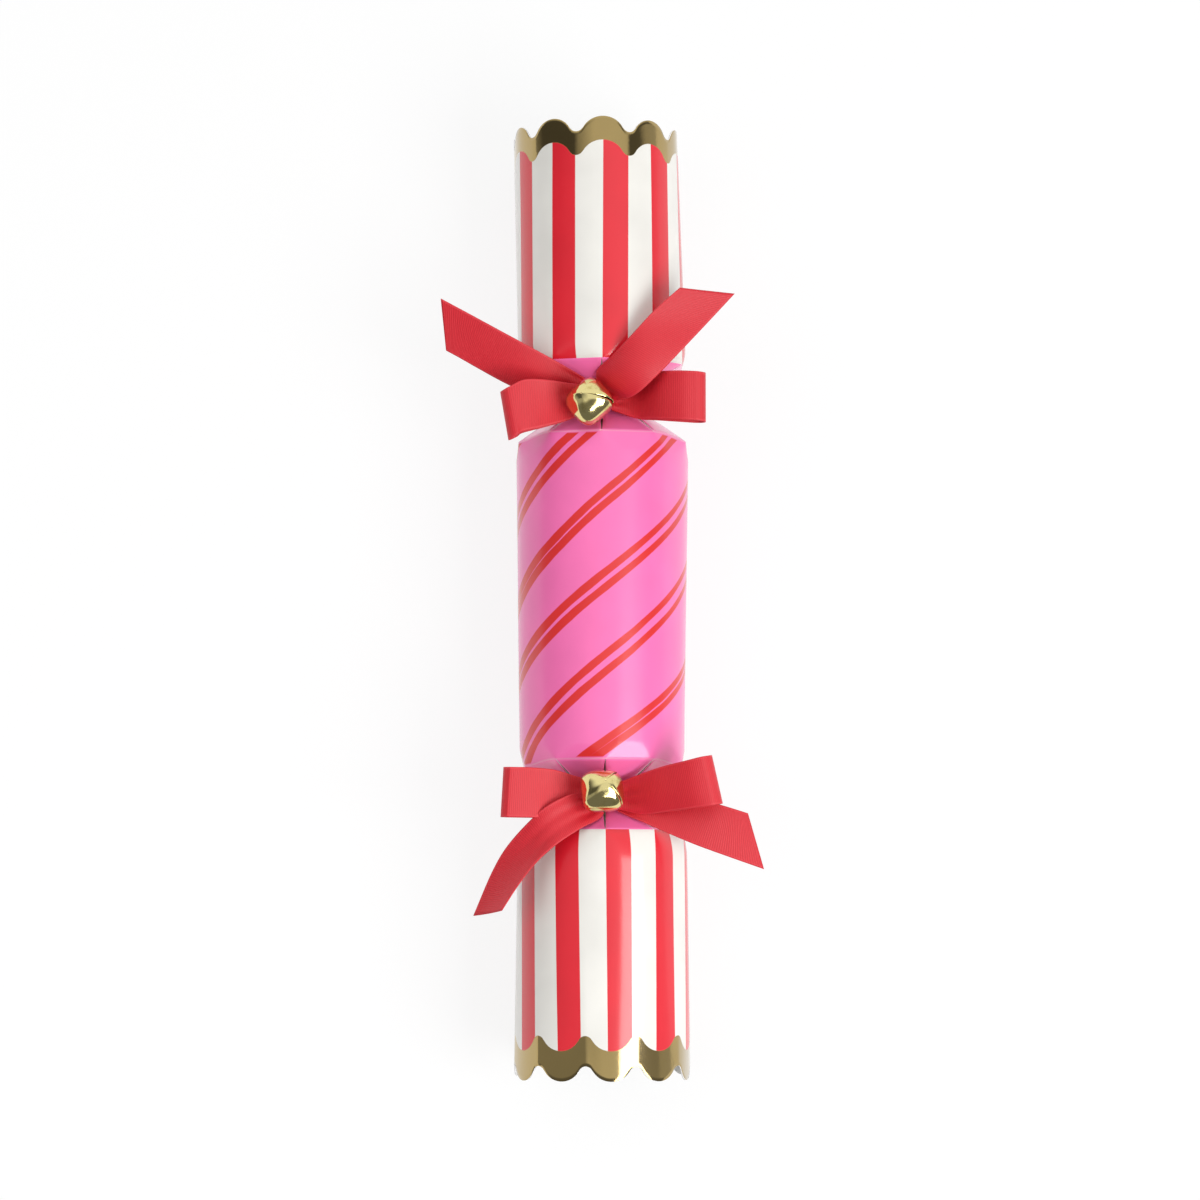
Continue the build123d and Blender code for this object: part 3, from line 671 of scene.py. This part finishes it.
def tab_ring(name, fold, waist, corner, turn):
    piece = grown(name, repeat_tree, tab_mesh(fold, waist, corner), Count=PANELS,
                  First_Turn=radians(HALF_PANEL + turn), Place=(0, 0, AXIS * MM),
                  Direction=(radians(-90), 0, 0), Material=tab_print)
    for vert in piece.data.vertices:
        if abs(fold) == BARREL_FOLD:
            angle = degrees(atan2(vert.co.x, vert.co.z - AXIS * MM))
            vert.co.x *= 1.0 + BARREL_SPREAD * vert.co.y / MM
            vert.co.y += fold_skew(angle) * (vert.co.y - waist * MM) / (fold - waist)
        vert.co.z = max(vert.co.z, (AXIS - FLAT_DROP) * MM)
    card_thickness(piece)
    return piece


barrel_far_tabs = tab_ring("barrel_far_tabs", BARREL_FOLD, FAR_WAIST, BARREL_FAR_CORNER, FAR_TURN)
barrel_near_tabs = tab_ring("barrel_near_tabs", -BARREL_FOLD, NEAR_WAIST, BARREL_NEAR_CORNER, NEAR_TURN)
far_frill_tabs = tab_ring("far_frill_tabs", FAR_FOLD, FAR_WAIST, FAR_CORNER, FAR_TURN)
near_frill_tabs = tab_ring("near_frill_tabs", NEAR_FOLD, NEAR_WAIST, NEAR_CORNER, NEAR_TURN)
print("tabs", [len(piece.data.polygons) for piece in (barrel_far_tabs, near_frill_tabs)])

# %% [markdown]
# The bows are grosgrain, a ribbon with fine ribs across it. A strip is drawn as two edges, in real
# places, with the cloth between them. Where the edges come together at the knot the cloth has nowhere
# to go, so it pleats: the depth of the pleats follows from the width that is left over.

# %% Ribbon material
RIBBON_WIDTH = 15.5
RIBBON_THICKNESS = 0.4
RIB_PITCH = 0.62            # from one rib to the next
ribbon_cloth, tree, shader = new_material(
    "ribbon_cloth", Roughness=0.55, Sheen_Weight=0.05, Sheen_Roughness=0.3, Sheen_Tint=(1.0, 0.6, 0.55, 1.0),
    Specular_IOR_Level=0.65)
do = partial(calc, tree)
across, along = sheet_place(tree)
rib_height = step_up(tree, do("SINE", do("MULTIPLY", along, 2 * pi / RIB_PITCH)), -0.9, 0.9)
thread = add(tree, "ShaderNodeCombineXYZ", {0: do("MULTIPLY", across, 6.0), 1: do("MULTIPLY", along, 1.5)})
slub = noise(tree, thread.outputs[0], 1.2, 2.0)
# The ribs are painted darker in their grooves and lighter on their crowns, which is painted shade and
# highlight; the slubs vary the dye at random.
rib_shade_and_slub = do("ADD", do("MULTIPLY", rib_height, 0.5), do("MULTIPLY", slub, 0.5))
selvedge = step_up(tree, do("ABSOLUTE", across), 7.0, 7.3)
cloth = blend(tree, rib_shade_and_slub, (0.51, 0.002, 0.012), (0.69, 0.014, 0.029))
feed(tree, shader, Base_Color=blend(tree, selvedge, cloth, (0.66, 0.022, 0.036)))
bump(tree, shader, rib_shade_and_slub, 0.5, 0.00015)
print("ribbon", len(tree.nodes), "nodes")

# %% Ribbon strips
RIBBON_COLUMNS = 30
PLEATS = 3
PLEAT_START = 13.8          # width below which a strip pleats
PLEAT_RANGE = 5.0           # and the range of widths in which the pleats deepen


def through(points, count):
    """Smooth curve of count + 1 points through a list of points of any number of values."""
    spans = len(points) - 1
    curve = []
    for step in range(count + 1):
        place = spans * step / count
        first = min(int(place), spans - 1)
        t = place - first
        a, b, c, d = (points[min(max(first + k, 0), spans)] for k in (-1, 0, 1, 2))
        if first == 0:
            a = [2 * p - q for p, q in zip(b, c)]
        if first == spans - 1:
            d = [2 * q - p for p, q in zip(b, c)]
        curve.append([0.5 * (2 * q + (r - p) * t + (2 * p - 5 * q + 4 * r - s) * t ** 2
                             + (3 * q - p - 3 * r + s) * t ** 3) for p, q, r, s in zip(a, b, c, d)])
    return curve


def strip_grid(stations, centre):
    """Grid of a strip, and its length. A station holds two edge points, left then right, and a cup depth.

    The points are measured from the middle of the choke, and their heights from the cracker's axis.
    """
    lines = through(stations, 10 * len(stations))
    middles = [Vector([(line[k] + line[k + 3]) / 2 for k in range(3)]) for line in lines]
    grid = []
    walked = 0.0
    for index, line in enumerate(lines):
        left, right = Vector(line[:3]), Vector(line[3:6])
        width = (right - left).length
        before = middles[max(0, index - 1)]
        after = middles[min(len(middles) - 1, index + 1)]
        walked += (middles[index] - before).length
        normal = (after - before).cross(right - left).normalized()
        spare = max(0.0, RIBBON_WIDTH / width - 1.0)
        pleated = max(0.0, min(1.0, (PLEAT_START - width) / PLEAT_RANGE))
        depth = 0.45 * width / PLEATS / pi * sqrt(spare) * pleated
        row = []
        for column in range(RIBBON_COLUMNS + 1):
            across = column / RIBBON_COLUMNS
            side = 2 * across - 1
            lift = depth * cos(2 * PLEATS * pi * across + 0.6) + line[6] * (1 - side ** 2)
            point = left + (right - left) * across + normal * lift
            row.append((point + centre, (side * RIBBON_WIDTH / 2, walked)))
        grid.append(row)
    return grid, walked


print("ribbon strips of", RIBBON_COLUMNS, "columns")

# %% [markdown]
# A loop is a strip that goes out, turns over at its end and comes back on top, so only its upper edges
# are written down: the lower layer lies under them, and the turn is half a circle. A tail is one layer
# with a slanting cut.

# %% Bow shapes
KNOT_MIDDLE = {"far": -2.6, "near": -0.8}   # where across the bow its knot sits
KNOT_HALF = (4.0, 4.3, 3.3)                 # half the knot's width, length and height
KNOT_HEIGHT = 17.6                          # of the knot's middle over the axis
BAND_HALF = 2.4                             # half the width of the band round the choke
BAND_RADIUS = 13.95


def loop_stations(upper):
    """Stations of a loop from its upper layer, given from the knot outwards as
    (left x, left y, right x, right y, height, gap to the lower layer, cup)."""
    below = [(lx, ly, z - gap, rx, ry, z - gap, cup / 2) for lx, ly, rx, ry, z, gap, cup in upper]
    above = [(lx, ly, z, rx, ry, z, cup) for lx, ly, rx, ry, z, gap, cup in upper]
    lx, ly, rx, ry, z, gap, _ = upper[-1]
    plx, ply, prx, pry = upper[-2][:4]
    out = Vector((lx + rx - plx - prx, ly + ry - ply - pry)).normalized() * gap / 2
    turn = []
    for angle in (-60, -30, 0, 30, 60):
        reach, rise = cos(radians(angle)), sin(radians(angle))
        height = z - gap / 2 + rise * gap / 2
        turn.append((lx + out.x * reach, ly + out.y * reach, height,
                     rx + out.x * reach, ry + out.y * reach, height, 0.0))
    return below + turn + above[::-1]


def wrapped(points, half_width):
    """Stations of a band from its middle line."""
    points, half_width = map(Vector, points), Vector(half_width)
    return [(*(point - half_width), *(point + half_width), 0.0) for point in points]


def knot_stations(middle):
    """The knot is a short loop round all that crosses it."""
    half, length, height = KNOT_HALF
    return wrapped([(middle, length * cos(turn), KNOT_HEIGHT + height * sin(turn))
                    for turn in map(radians, range(-90, 271, 30))], (half, 0, 0))


def band_stations():
    return wrapped([(BAND_RADIUS * sin(turn), 0, BAND_RADIUS * cos(turn))
                    for turn in map(radians, range(0, 361, 20))], (0, BAND_HALF, 0))


FAR_BOW = {
    "left_loop": loop_stations((
        (0, 3.0, 0, -3.0, 18.8, 1.2, 0), (-6, 3.4, -6, -5.0, 20.6, 1.5, 0),
        (-11.5, 3.7, -11.5, -7.9, 23.4, 2.6, 0.6), (-19, 4.3, -19.5, -10.6, 27.0, 3.6, 0.6),
        (-25.5, 4.0, -26.0, -12.4, 29.3, 5.2, 0), (-30.2, 1.7, -27.6, -13.5, 30.2, 6.2, 0))),
    "right_loop": loop_stations((
        (0, -3.2, 0, 2.8, 18.6, 1.2, 0), (5.5, -5.4, 5.5, 5.2, 18.8, 1.4, 0),
        (11.0, -7.2, 11.0, 6.7, 20.8, 2.2, -0.6), (17.5, -8.1, 17.5, 7.0, 27.4, 4.8, -0.6),
        (23.6, -8.7, 23.6, 6.8, 31.2, 6.8, -0.2), (28.0, -9.0, 28.0, 6.6, 31.8, 7.2, 0))),
    "left_tail": (
        (-1.0, 2.6, 16.4, -2.0, -2.4, 16.2, 0), (-8.0, 6.8, 19.8, -9.5, -2.4, 17.4, 0),
        (-16.2, 11.0, 24.0, -21.0, -0.6, 18.6, 0.4), (-25.0, 15.5, 26.2, -31.2, 3.9, 19.6, 0.6),
        (-34.0, 20.3, 26.6, -40.0, 8.6, 20.2, 0.3), (-43.0, 25.2, 26.4, -46.0, 12.0, 20.2, 0),
        (-51.9, 30.0, 26.0, -50.2, 14.3, 20.0, 0)),
    "right_tail": (
        (-1.5, 2.6, 18.0, 1.0, -2.4, 18.2, 0), (-2.6, 6.2, 20.4, 4.6, -1.4, 20.4, -0.6),
        (-1.8, 8.6, 22.6, 9.6, -0.4, 27.6, -2.4), (2.3, 12.0, 27.0, 15.2, 4.2, 30.8, -2.6),
        (8.3, 18.2, 30.6, 21.6, 10.8, 30.0, -1.0), (15.5, 26.0, 30.8, 30.8, 20.8, 26.6, 0.3),
        (23.6, 33.3, 30.0, 41.2, 32.2, 24.6, 0.3)),
}
NEAR_BOW = {
    "left_loop": loop_stations((
        (0, 3.0, 0, -3.0, 18.8, 1.2, 0), (-5.5, 4.8, -5.5, -5.0, 20.4, 1.6, 0),
        (-9.8, 6.0, -10.2, -6.6, 22.2, 2.2, 0.4), (-16, 7.7, -16.5, -7.4, 24.4, 2.8, 0.4),
        (-23, 8.3, -23.5, -7.4, 26.8, 4.0, 0), (-29.0, 8.4, -29.9, -7.3, 28.2, 5.4, 0))),
    "right_loop": loop_stations((
        (0, -3.2, 0, 2.8, 18.8, 1.2, 0), (6, -4.9, 5.2, 4.2, 18.8, 1.4, 0),
        (12.6, -6.2, 10.8, 6.2, 21.0, 2.0, -0.8), (20.4, -5.4, 17.6, 8.5, 26.2, 4.6, -0.8),
        (28.0, -4.4, 25.0, 10.3, 31.2, 7.2, -0.3), (32.8, -3.8, 29.4, 11.4, 32.6, 8.0, 0))),
    "left_tail": (
        (1.0, -3.0, 18.2, -1.4, 2.2, 18.0, 0), (-1.4, -7.4, 21.8, -6.4, 1.0, 21.4, 0.3),
        (-7.9, -11.0, 27.0, -12.6, -0.8, 25.4, 0.8), (-15.1, -15.7, 29.6, -20.4, -5.4, 26.4, 1.2),
        (-21.4, -21.2, 29.2, -29.4, -14.7, 21.6, 1.2), (-27.0, -28.2, 28.0, -34.9, -23.6, 17.6, 0.9),
        (-32.4, -36.5, 26.2, -41.1, -38.1, 14.0, 0.4)),
    "right_tail": (
        (1.4, -3.4, 16.4, 2.0, 2.2, 16.6, 0), (6.5, -6.2, 18.2, 7.2, 2.0, 16.8, 0.1),
        (12.0, -8.6, 20.6, 14.2, 2.2, 18.2, 0.2), (20.4, -12.4, 22.4, 25.0, 0.8, 20.6, 0.4),
        (29.0, -16.0, 23.2, 34.0, -2.4, 22.0, 0.4), (39.0, -19.6, 23.0, 40.4, -4.4, 22.2, 0.2),
        (50.2, -23.5, 22.4, 45.2, -5.9, 22.0, 0)),
}


def bow(end, strips, waist):
    """A whole bow, and the length of the ribbon in it."""
    centre = Vector((0, waist, AXIS))
    drawn = [strip_grid(stations, centre)
             for stations in (*strips.values(), knot_stations(KNOT_MIDDLE[end]), band_stations())]
    mesh = grid_mesh(end + "_bow", [grid for grid, _ in drawn], lambda point: Vector((0, 0, 0)))
    piece = link_piece(end + "_bow", mesh, ribbon_cloth)
    thicken(piece, RIBBON_THICKNESS)
    return piece, sum(length for _, length in drawn)


far_bow, far_ribbon_length = bow("far", FAR_BOW, FAR_WAIST)
near_bow, near_ribbon_length = bow("near", NEAR_BOW, NEAR_WAIST)
print("ribbon lengths", round(far_ribbon_length), round(near_ribbon_length), "mm")

# %% [markdown]
# Bright metal shows little of its own colour and mostly its surroundings, so what makes it look real is
# uneven polish: fine smudges that dull some places, and a slight dent here and there. One group gives
# both to the bells, their wire loops and the steel balls.

# %% Metal group and finishes
metal_polish, given, result, place = new_group(
    "metal polish", ("Roughness", "Height", "Mask"), Polish=0.12, Smudge=0.2, Size=300.0)
dirty = step_up(metal_polish, noise(metal_polish, place, given["Size"], 4.0, Roughness=0.6), 0.45, 0.75)
rough = calc(metal_polish, "MULTIPLY_ADD", dirty, given["Smudge"], given["Polish"])
feed(metal_polish, result, Roughness=rough, Height=noise(metal_polish, place, 220.0, 0.0), Mask=dirty)


def metal_material(name, clean, dirty, polish, smudge, size=300.0):
    material, tree, shader = new_material(name, Metallic=1.0)
    polished = add(tree, "ShaderNodeGroup", {"Polish": polish, "Smudge": smudge, "Size": size},
                   node_tree=metal_polish).outputs
    feed(tree, shader, Base_Color=blend(tree, polished["Mask"], clean, dirty),
         Roughness=polished["Roughness"])
    bump(tree, shader, polished["Height"], 0.3, 0.0002)
    return material


bell_gold = metal_material("bell_gold", (0.80, 0.69, 0.31), (0.58, 0.47, 0.17), 0.08, 0.16)
wire_gold = metal_material("wire_gold", (0.76, 0.58, 0.24), (0.60, 0.44, 0.16), 0.14, 0.15, 600.0)
ball_steel = metal_material("ball_steel", (0.56, 0.56, 0.57), (0.42, 0.41, 0.40), 0.2, 0.25, 500.0)
print("metals", bell_gold.name, wire_gold.name, ball_steel.name)

# %% [markdown]
# A craft jingle bell is stamped as four petals, bent up until they nearly meet, so it is a ball with
# four flattish faces and soft ridges between them. The slits run along the ridges: hairs at the apex,
# they end in small round holes. No bell is pressed evenly, so each slit has its own share of the full
# opening, and each bell sits askew on its loop.

# %% Bell petals
BELL_HALF = 6.7
BELL_REACH = 8.6            # from the wire loop's middle to the bell's middle
BELL_WALL = 0.3
BELL_SQUARE = 3.6           # 2 would make a bell's outline round, seen along its axis, and more squares it
BULGE_ABOVE, BULGE_BELOW = 1.66, 2.2   # the same for its profile, above and below the middle
PETAL_ROWS, PETAL_COLUMNS = 60, 24
POLE = 0.15                 # degrees left open at the apex and at the loop
SLIT_HALF = 0.30
SLIT_END = -0.10            # where a slit ends, as a share of the half height
HOLE_RADIUS = 0.75
BELL_SPIN = {"far": 40.0, "near": 4.0}
BELL_FACING = {"far": (-0.40, 0.27, 0.88), "near": (0.12, 0.44, 0.89)}   # way that the apex points
BELL_SHIFT = {"far": (-0.8, -0.4, 0.0), "near": (0.0, 1.05, 0.22)}       # place off the loop's axis
SLIT_OPENING = {"far": (0.0, 0.0, 0.0, 1.0), "near": (1.0, 0.0, 0.0, 0.3)}


def bell_wall(turn, polar):
    """Distance from the bell's middle to its wall."""
    square = (abs(cos(turn)) ** BELL_SQUARE + abs(sin(turn)) ** BELL_SQUARE) ** (1 / BELL_SQUARE)
    bulge = BULGE_ABOVE if polar < pi / 2 else BULGE_BELOW
    return BELL_HALF / ((square * sin(polar)) ** bulge + abs(cos(polar)) ** bulge) ** (1 / bulge)


def slit_gap(opening, height):
    """Half the width of a slit, where height goes from 1 at the apex to -1 at the wire loop."""
    from_end = (height - SLIT_END) * BELL_HALF
    hole = HOLE_RADIUS * sqrt(opening)
    gap = 0.0
    if from_end > 0:
        gap = opening * SLIT_HALF * min(1.0, (1.0 - height) / 0.5)
    if abs(from_end) < hole:
        gap = max(gap, sqrt(hole ** 2 - from_end ** 2))
    return gap


def petal_grid(number, openings):
    """One petal, between the slit before it and the slit after it."""
    grid = []
    for row in range(PETAL_ROWS + 1):
        polar = radians(POLE + (180.0 - 2 * POLE) * row / PETAL_ROWS)
        height = cos(polar)
        around = bell_wall(pi / 4, polar) * sin(polar)
        before, after = (asin(min(0.7, slit_gap(openings[(number + k) % 4], height) / around))
                         for k in (-1, 0))
        start, stop = number * pi / 2 - pi / 4 + before, number * pi / 2 + pi / 4 - after
        line = []
        for column in range(PETAL_COLUMNS + 1):
            turn = start + (stop - start) * column / PETAL_COLUMNS
            out = bell_wall(turn, polar)
            wide = out * sin(polar)
            line.append(((wide * cos(turn), wide * sin(turn), out * height), (turn, polar)))
        grid.append(line)
    return grid


def standing(way):
    """The turn that stands +Z along a direction."""
    return Vector((0, 0, 1)).rotation_difference(Vector(way))


def bell_place(end):
    """Middle of the wire loop, and the axis that the clapper follows."""
    return Vector(joints[end + "_bell_swing"]["pos_m"]), Vector(joints[end + "_clapper_rattle"]["axis"])


def bell(end):
    pivot, axis = bell_place(end)
    petals = [petal_grid(number, SLIT_OPENING[end]) for number in range(4)]
    mesh = grid_mesh(end + "_bell_petals", petals, lambda point: Vector(point), weld=True)
    middle = pivot + axis * BELL_REACH * MM + Vector(BELL_SHIFT[end]) * MM
    mesh.transform(Matrix.Translation(middle) @ standing(BELL_FACING[end]).to_matrix().to_4x4()
                   @ Matrix.Rotation(radians(BELL_SPIN[end]), 4, "Z"))
    piece = link_piece(end + "_bell_petals", mesh, bell_gold)
    thicken(piece, BELL_WALL, -1.0)
    return piece


far_bell_petals = bell("far")
near_bell_petals = bell("near")
print("bell petals", len(far_bell_petals.data.polygons), "faces each")

# %% [markdown]
# A wire ring and a rolled sheet are both a section that follows a path, which is what Curve to Mesh
# does. The ring follows a circle. The rolls of the paper hat and of the motto follow a spiral, and
# their section is a straight line as long as the sheet is wide.

# %% Wire loops
LOOP_RADIUS = 1.9           # to the middle of the wire
WIRE_RADIUS = 0.45
wire_tree, given = geometry_tree("ring of wire", Ring_Radius="Float", Wire_Radius="Float")
circle, section = (
    add(wire_tree, "GeometryNodeCurvePrimitiveCircle", {"Resolution": points, "Radius": given[label]})
    for points, label in ((48, "Ring Radius"), (16, "Wire Radius")))
swept = add(wire_tree, "GeometryNodeCurveToMesh", {
    "Curve": circle.outputs[0], "Profile Curve": section.outputs[0]})
end_tree(wire_tree, swept.outputs[0], given)


def wire_loop(end):
    pivot, axis = bell_place(end)
    direction = (standing(axis) @ Euler((0, radians(90), 0)).to_quaternion()).to_euler()
    piece = grown(end + "_bell_wire", wire_tree, Ring_Radius=LOOP_RADIUS * MM, Wire_Radius=WIRE_RADIUS * MM,
                  Place=pivot, Direction=direction, Material=wire_gold)
    piece.data.shade_smooth()
    return piece


far_bell_wire = wire_loop("far")
near_bell_wire = wire_loop("near")
print("wire loops", len(far_bell_wire.data.polygons), "faces each")

# %% Rolled hat and motto
roll_tree, given = geometry_tree(
    "rolled sheet", Turns="Float", Outer_Radius="Float", Inner_Radius="Float", Width="Float")
spiral = add(roll_tree, "GeometryNodeCurveSpiral", {
    "Resolution": 64, "Rotations": given["Turns"], "Start Radius": given["Outer Radius"],
    "End Radius": given["Inner Radius"], "Height": 0.0})
start, stop = (
    add(roll_tree, "ShaderNodeCombineXYZ", {1: calc(roll_tree, "MULTIPLY", given["Width"], share)})
    for share in (-0.5, 0.5))
line = add(roll_tree, "GeometryNodeCurvePrimitiveLine", {"Start": start.outputs[0], "End": stop.outputs[0]})
swept = add(roll_tree, "GeometryNodeCurveToMesh", {
    "Curve": spiral.outputs[0], "Profile Curve": line.outputs[0]})
end_tree(roll_tree, swept.outputs[0], given)

hat_tissue = card_material("hat_tissue", (0.62, 0.03, 0.05), 0.75, 0.15, 0.0012, fibre_size=260.0)
motto_paper = card_material("motto_paper", (0.85, 0.83, 0.78), 0.65, 0.15)


def roll(name, node, turns, layer, pitch, material):
    """A sheet rolled up in place of a solid, with the solid's size."""
    low, high = (Vector(corner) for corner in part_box(node))
    outer = (high.x - low.x) / 2 - layer * MM / 2
    piece = grown(name, roll_tree, Turns=turns, Outer_Radius=outer, Inner_Radius=outer - turns * pitch * MM,
                  Width=high.y - low.y, Place=(low + high) / 2, Direction=(radians(-90), 0, 0),
                  Material=material)
    piece.data.shade_smooth()
    thicken(piece, 0.5 * layer)
    return piece


hat_roll = roll("hat_roll", "paper_hat", 3.0, 0.9, 1.5, hat_tissue)
motto_roll = roll("motto_roll", "motto_slip", 2.0, 0.4, 0.9, motto_paper)
print("rolls", *([round(v / MM, 1) for v in piece.dimensions] for piece in (hat_roll, motto_roll)))

# %% [markdown]
# The pieces inside keep their solids and only need finishes: grey board for the liner, thin card for the
# snap with its dull patches, and turned wood for the small spinning top.

# %% Inner finishes
liner_board = card_material("liner_board", (0.50, 0.43, 0.33), 0.7, 0.2, 0.0006, fibre_size=500.0)
snap_card = card_material("snap_card", (0.66, 0.60, 0.48), 0.65, 0.2)
sleeve_paper = card_material("sleeve_paper", (0.72, 0.67, 0.56), 0.7, 0.2)
patch_coat = card_material("patch_coat", (0.10, 0.08, 0.07), 0.85, 0.15, 0.001, fibre_size=1800.0)


def wood_material(name, pale, dark):
    material, tree, shader = new_material(name, Coat_Weight=0.15, Coat_Roughness=0.35)
    place = tree.nodes.new("ShaderNodeTexCoord").outputs["Object"]
    grain = add(tree, "ShaderNodeTexWave", {
        "Vector": place, "Scale": 160.0, "Distortion": 4.0, "Detail": 3.0}, bands_direction="X")
    grain = grain.outputs["Fac"]
    feed(tree, shader, Base_Color=blend(tree, grain, pale, dark),
         Roughness=calc(tree, "MULTIPLY_ADD", grain, 0.15, 0.4))
    bump(tree, shader, grain, 0.2, 0.0002)
    return material


disc_wood = wood_material("disc_wood", (0.56, 0.33, 0.15), (0.38, 0.20, 0.08))
spindle_wood = wood_material("spindle_wood", (0.46, 0.24, 0.10), (0.30, 0.14, 0.05))
inner_finish = {
    "barrel_liner": liner_board, "far_snap_strip": snap_card, "near_snap_strip": snap_card,
    "snap_charge": patch_coat, "snap_grit": patch_coat, "snap_sleeve": sleeve_paper,
    "far_bell_clapper": ball_steel, "near_bell_clapper": ball_steel,
    "spinning_top_disc": disc_wood, "spinning_top_spindle": spindle_wood}
for node, material in inner_finish.items():
    solid = frame["nodes"][node]
    if not solid.material_slots:
        solid.data.materials.append(material)
    for place in solid.material_slots:
        place.material = material
print("finished", len(inner_finish), "inner pieces")

# %% [markdown]
# Every piece is tied to the body that carries it, so that the ends pull away, the bells swing and the
# favours shift together with their solids.

# %% Ties to the imported bodies
ties = (
    ("barrel", "wrap_card", {barrel_sheet: "barrel_wrap", barrel_far_tabs: None, barrel_near_tabs: None}),
    ("far_end", "frill_card", {far_frill_sheet: "far_frill", far_frill_tabs: None}),
    ("near_end", "frill_card", {near_frill_sheet: "near_frill", near_frill_tabs: None}),
    ("far_end", "ribbon", {far_bow: "far_ribbon"}),
    ("near_end", "ribbon", {near_bow: "near_ribbon"}),
    ("far_bell", "bell_metal", {far_bell_petals: "far_bell_shell"}),
    ("near_bell", "bell_metal", {near_bell_petals: "near_bell_shell"}),
    ("far_bell", "bell_wire", {far_bell_wire: "far_bell_loop"}),
    ("near_bell", "bell_wire", {near_bell_wire: "near_bell_loop"}),
    ("hat", "tissue", {hat_roll: "paper_hat"}),
    ("motto", "slip_paper", {motto_roll: "motto_slip"}),
)
for body, slot, pieces in ties:
    for piece, node in pieces.items():
        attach(piece, body)
        if node:
            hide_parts(node)
print("tied", sum(len(pieces) for _, _, pieces in ties), "pieces")

# %% [markdown]
# A plain pale table, two soft studio lamps and a room finish the picture. The main lamp hangs to the
# right of the near end, so that the glossy card mirrors it there and nowhere else. A weak one fills the
# left side. The room is bright overhead and beyond the far end but dim elsewhere, which gives foil and
# bells something to mirror. The table is white to the camera, but keeps the soft shadow.

# %% Table, lamps and room
TABLE_HALF = 3.0
TABLE_DROP = 2e-5           # keeps the table just clear of the card that lies on it
corners = [(x * TABLE_HALF, y * TABLE_HALF, -TABLE_DROP) for x, y in ((-1, -1), (1, -1), (1, 1), (-1, 1))]
table_mesh = bpy.data.meshes.new("table")
table_mesh.from_pydata(corners, [], [(0, 1, 2, 3)])
table_top, tree, shader = new_material("table_top", Roughness=0.6, Base_Color=(0.86, 0.86, 0.86, 1.0))
glow = add(tree, "ShaderNodeEmission", {"Strength": 1.0})
path = tree.nodes.new("ShaderNodeLightPath").outputs
seen = calc(tree, "MAXIMUM", path["Is Camera Ray"], path["Is Glossy Ray"])
seen = calc(tree, "MAXIMUM", seen, path["Is Transmission Ray"])
mix = add(tree, "ShaderNodeMixShader", {
    0: calc(tree, "MULTIPLY", seen, 0.85), 1: shader.outputs[0], 2: glow.outputs[0]})
feed(tree, tree.nodes["Material Output"], Surface=mix.outputs[0])
table = link_piece("table", table_mesh, table_top)


def soft_lamp(name, place, tilt, power, width, depth):
    data = bpy.data.lights.new(name, "AREA")
    data.shape = "RECTANGLE"
    data.size, data.size_y = width, depth
    data.energy = power
    lamp = place_object(name, data)
    lamp.location = place
    lamp.rotation_euler = (0, radians(tilt), 0)
    return lamp


soft_lamp("softbox", (0.95, -0.65, 1.23), 38, 23.5, 0.85, 1.2)
fill = soft_lamp("fill", (-0.80, 0.10, 1.10), -36, 5.0, 1.0, 1.0)
fill.visible_glossy = False

room = bpy.data.worlds.new("room")
room.use_nodes = True
bpy.context.scene.world = room
tree = room.node_tree
sky = tree.nodes.new("ShaderNodeTexCoord").outputs["Generated"]
direction = add(tree, "ShaderNodeSeparateXYZ", {0: sky}).outputs
ramp = tree.nodes.new("ShaderNodeValToRGB")
levels = ((0.0, 0.35), (0.015, 0.1), (0.20, 0.1), (0.46, 0.9),   # brightness from left to right
          (0.81, 0.9), (0.87, 0.12), (0.97, 0.14), (0.985, 0.55))
for _ in range(len(levels) - 2):
    ramp.color_ramp.elements.new(0.5)
for element, (place, level) in zip(ramp.color_ramp.elements, levels):
    element.position = place
    element.color = (level, level, level, 1.0)
feed(tree, ramp, Fac=calc(tree, "MULTIPLY_ADD", direction["X"], 0.5, 0.5))
far_wall = step_up(tree, direction["Y"], 0.40, 0.65)
nearness = calc(tree, "MULTIPLY", direction["Y"], -1.0)
near_wall = step_up(tree, nearness, 0.12, 0.32)
haze = calc(tree, "MULTIPLY", step_up(tree, nearness, -0.13, -0.03), 0.38)
lit_room = blend(tree, far_wall, calc(tree, "MAXIMUM", ramp.outputs["Color"], haze), (1.0, 1.0, 1.0))
feed(tree, tree.nodes["Background"], Color=blend(tree, near_wall, lit_room, (0.18, 0.18, 0.18)))
print("table, lamps and room")
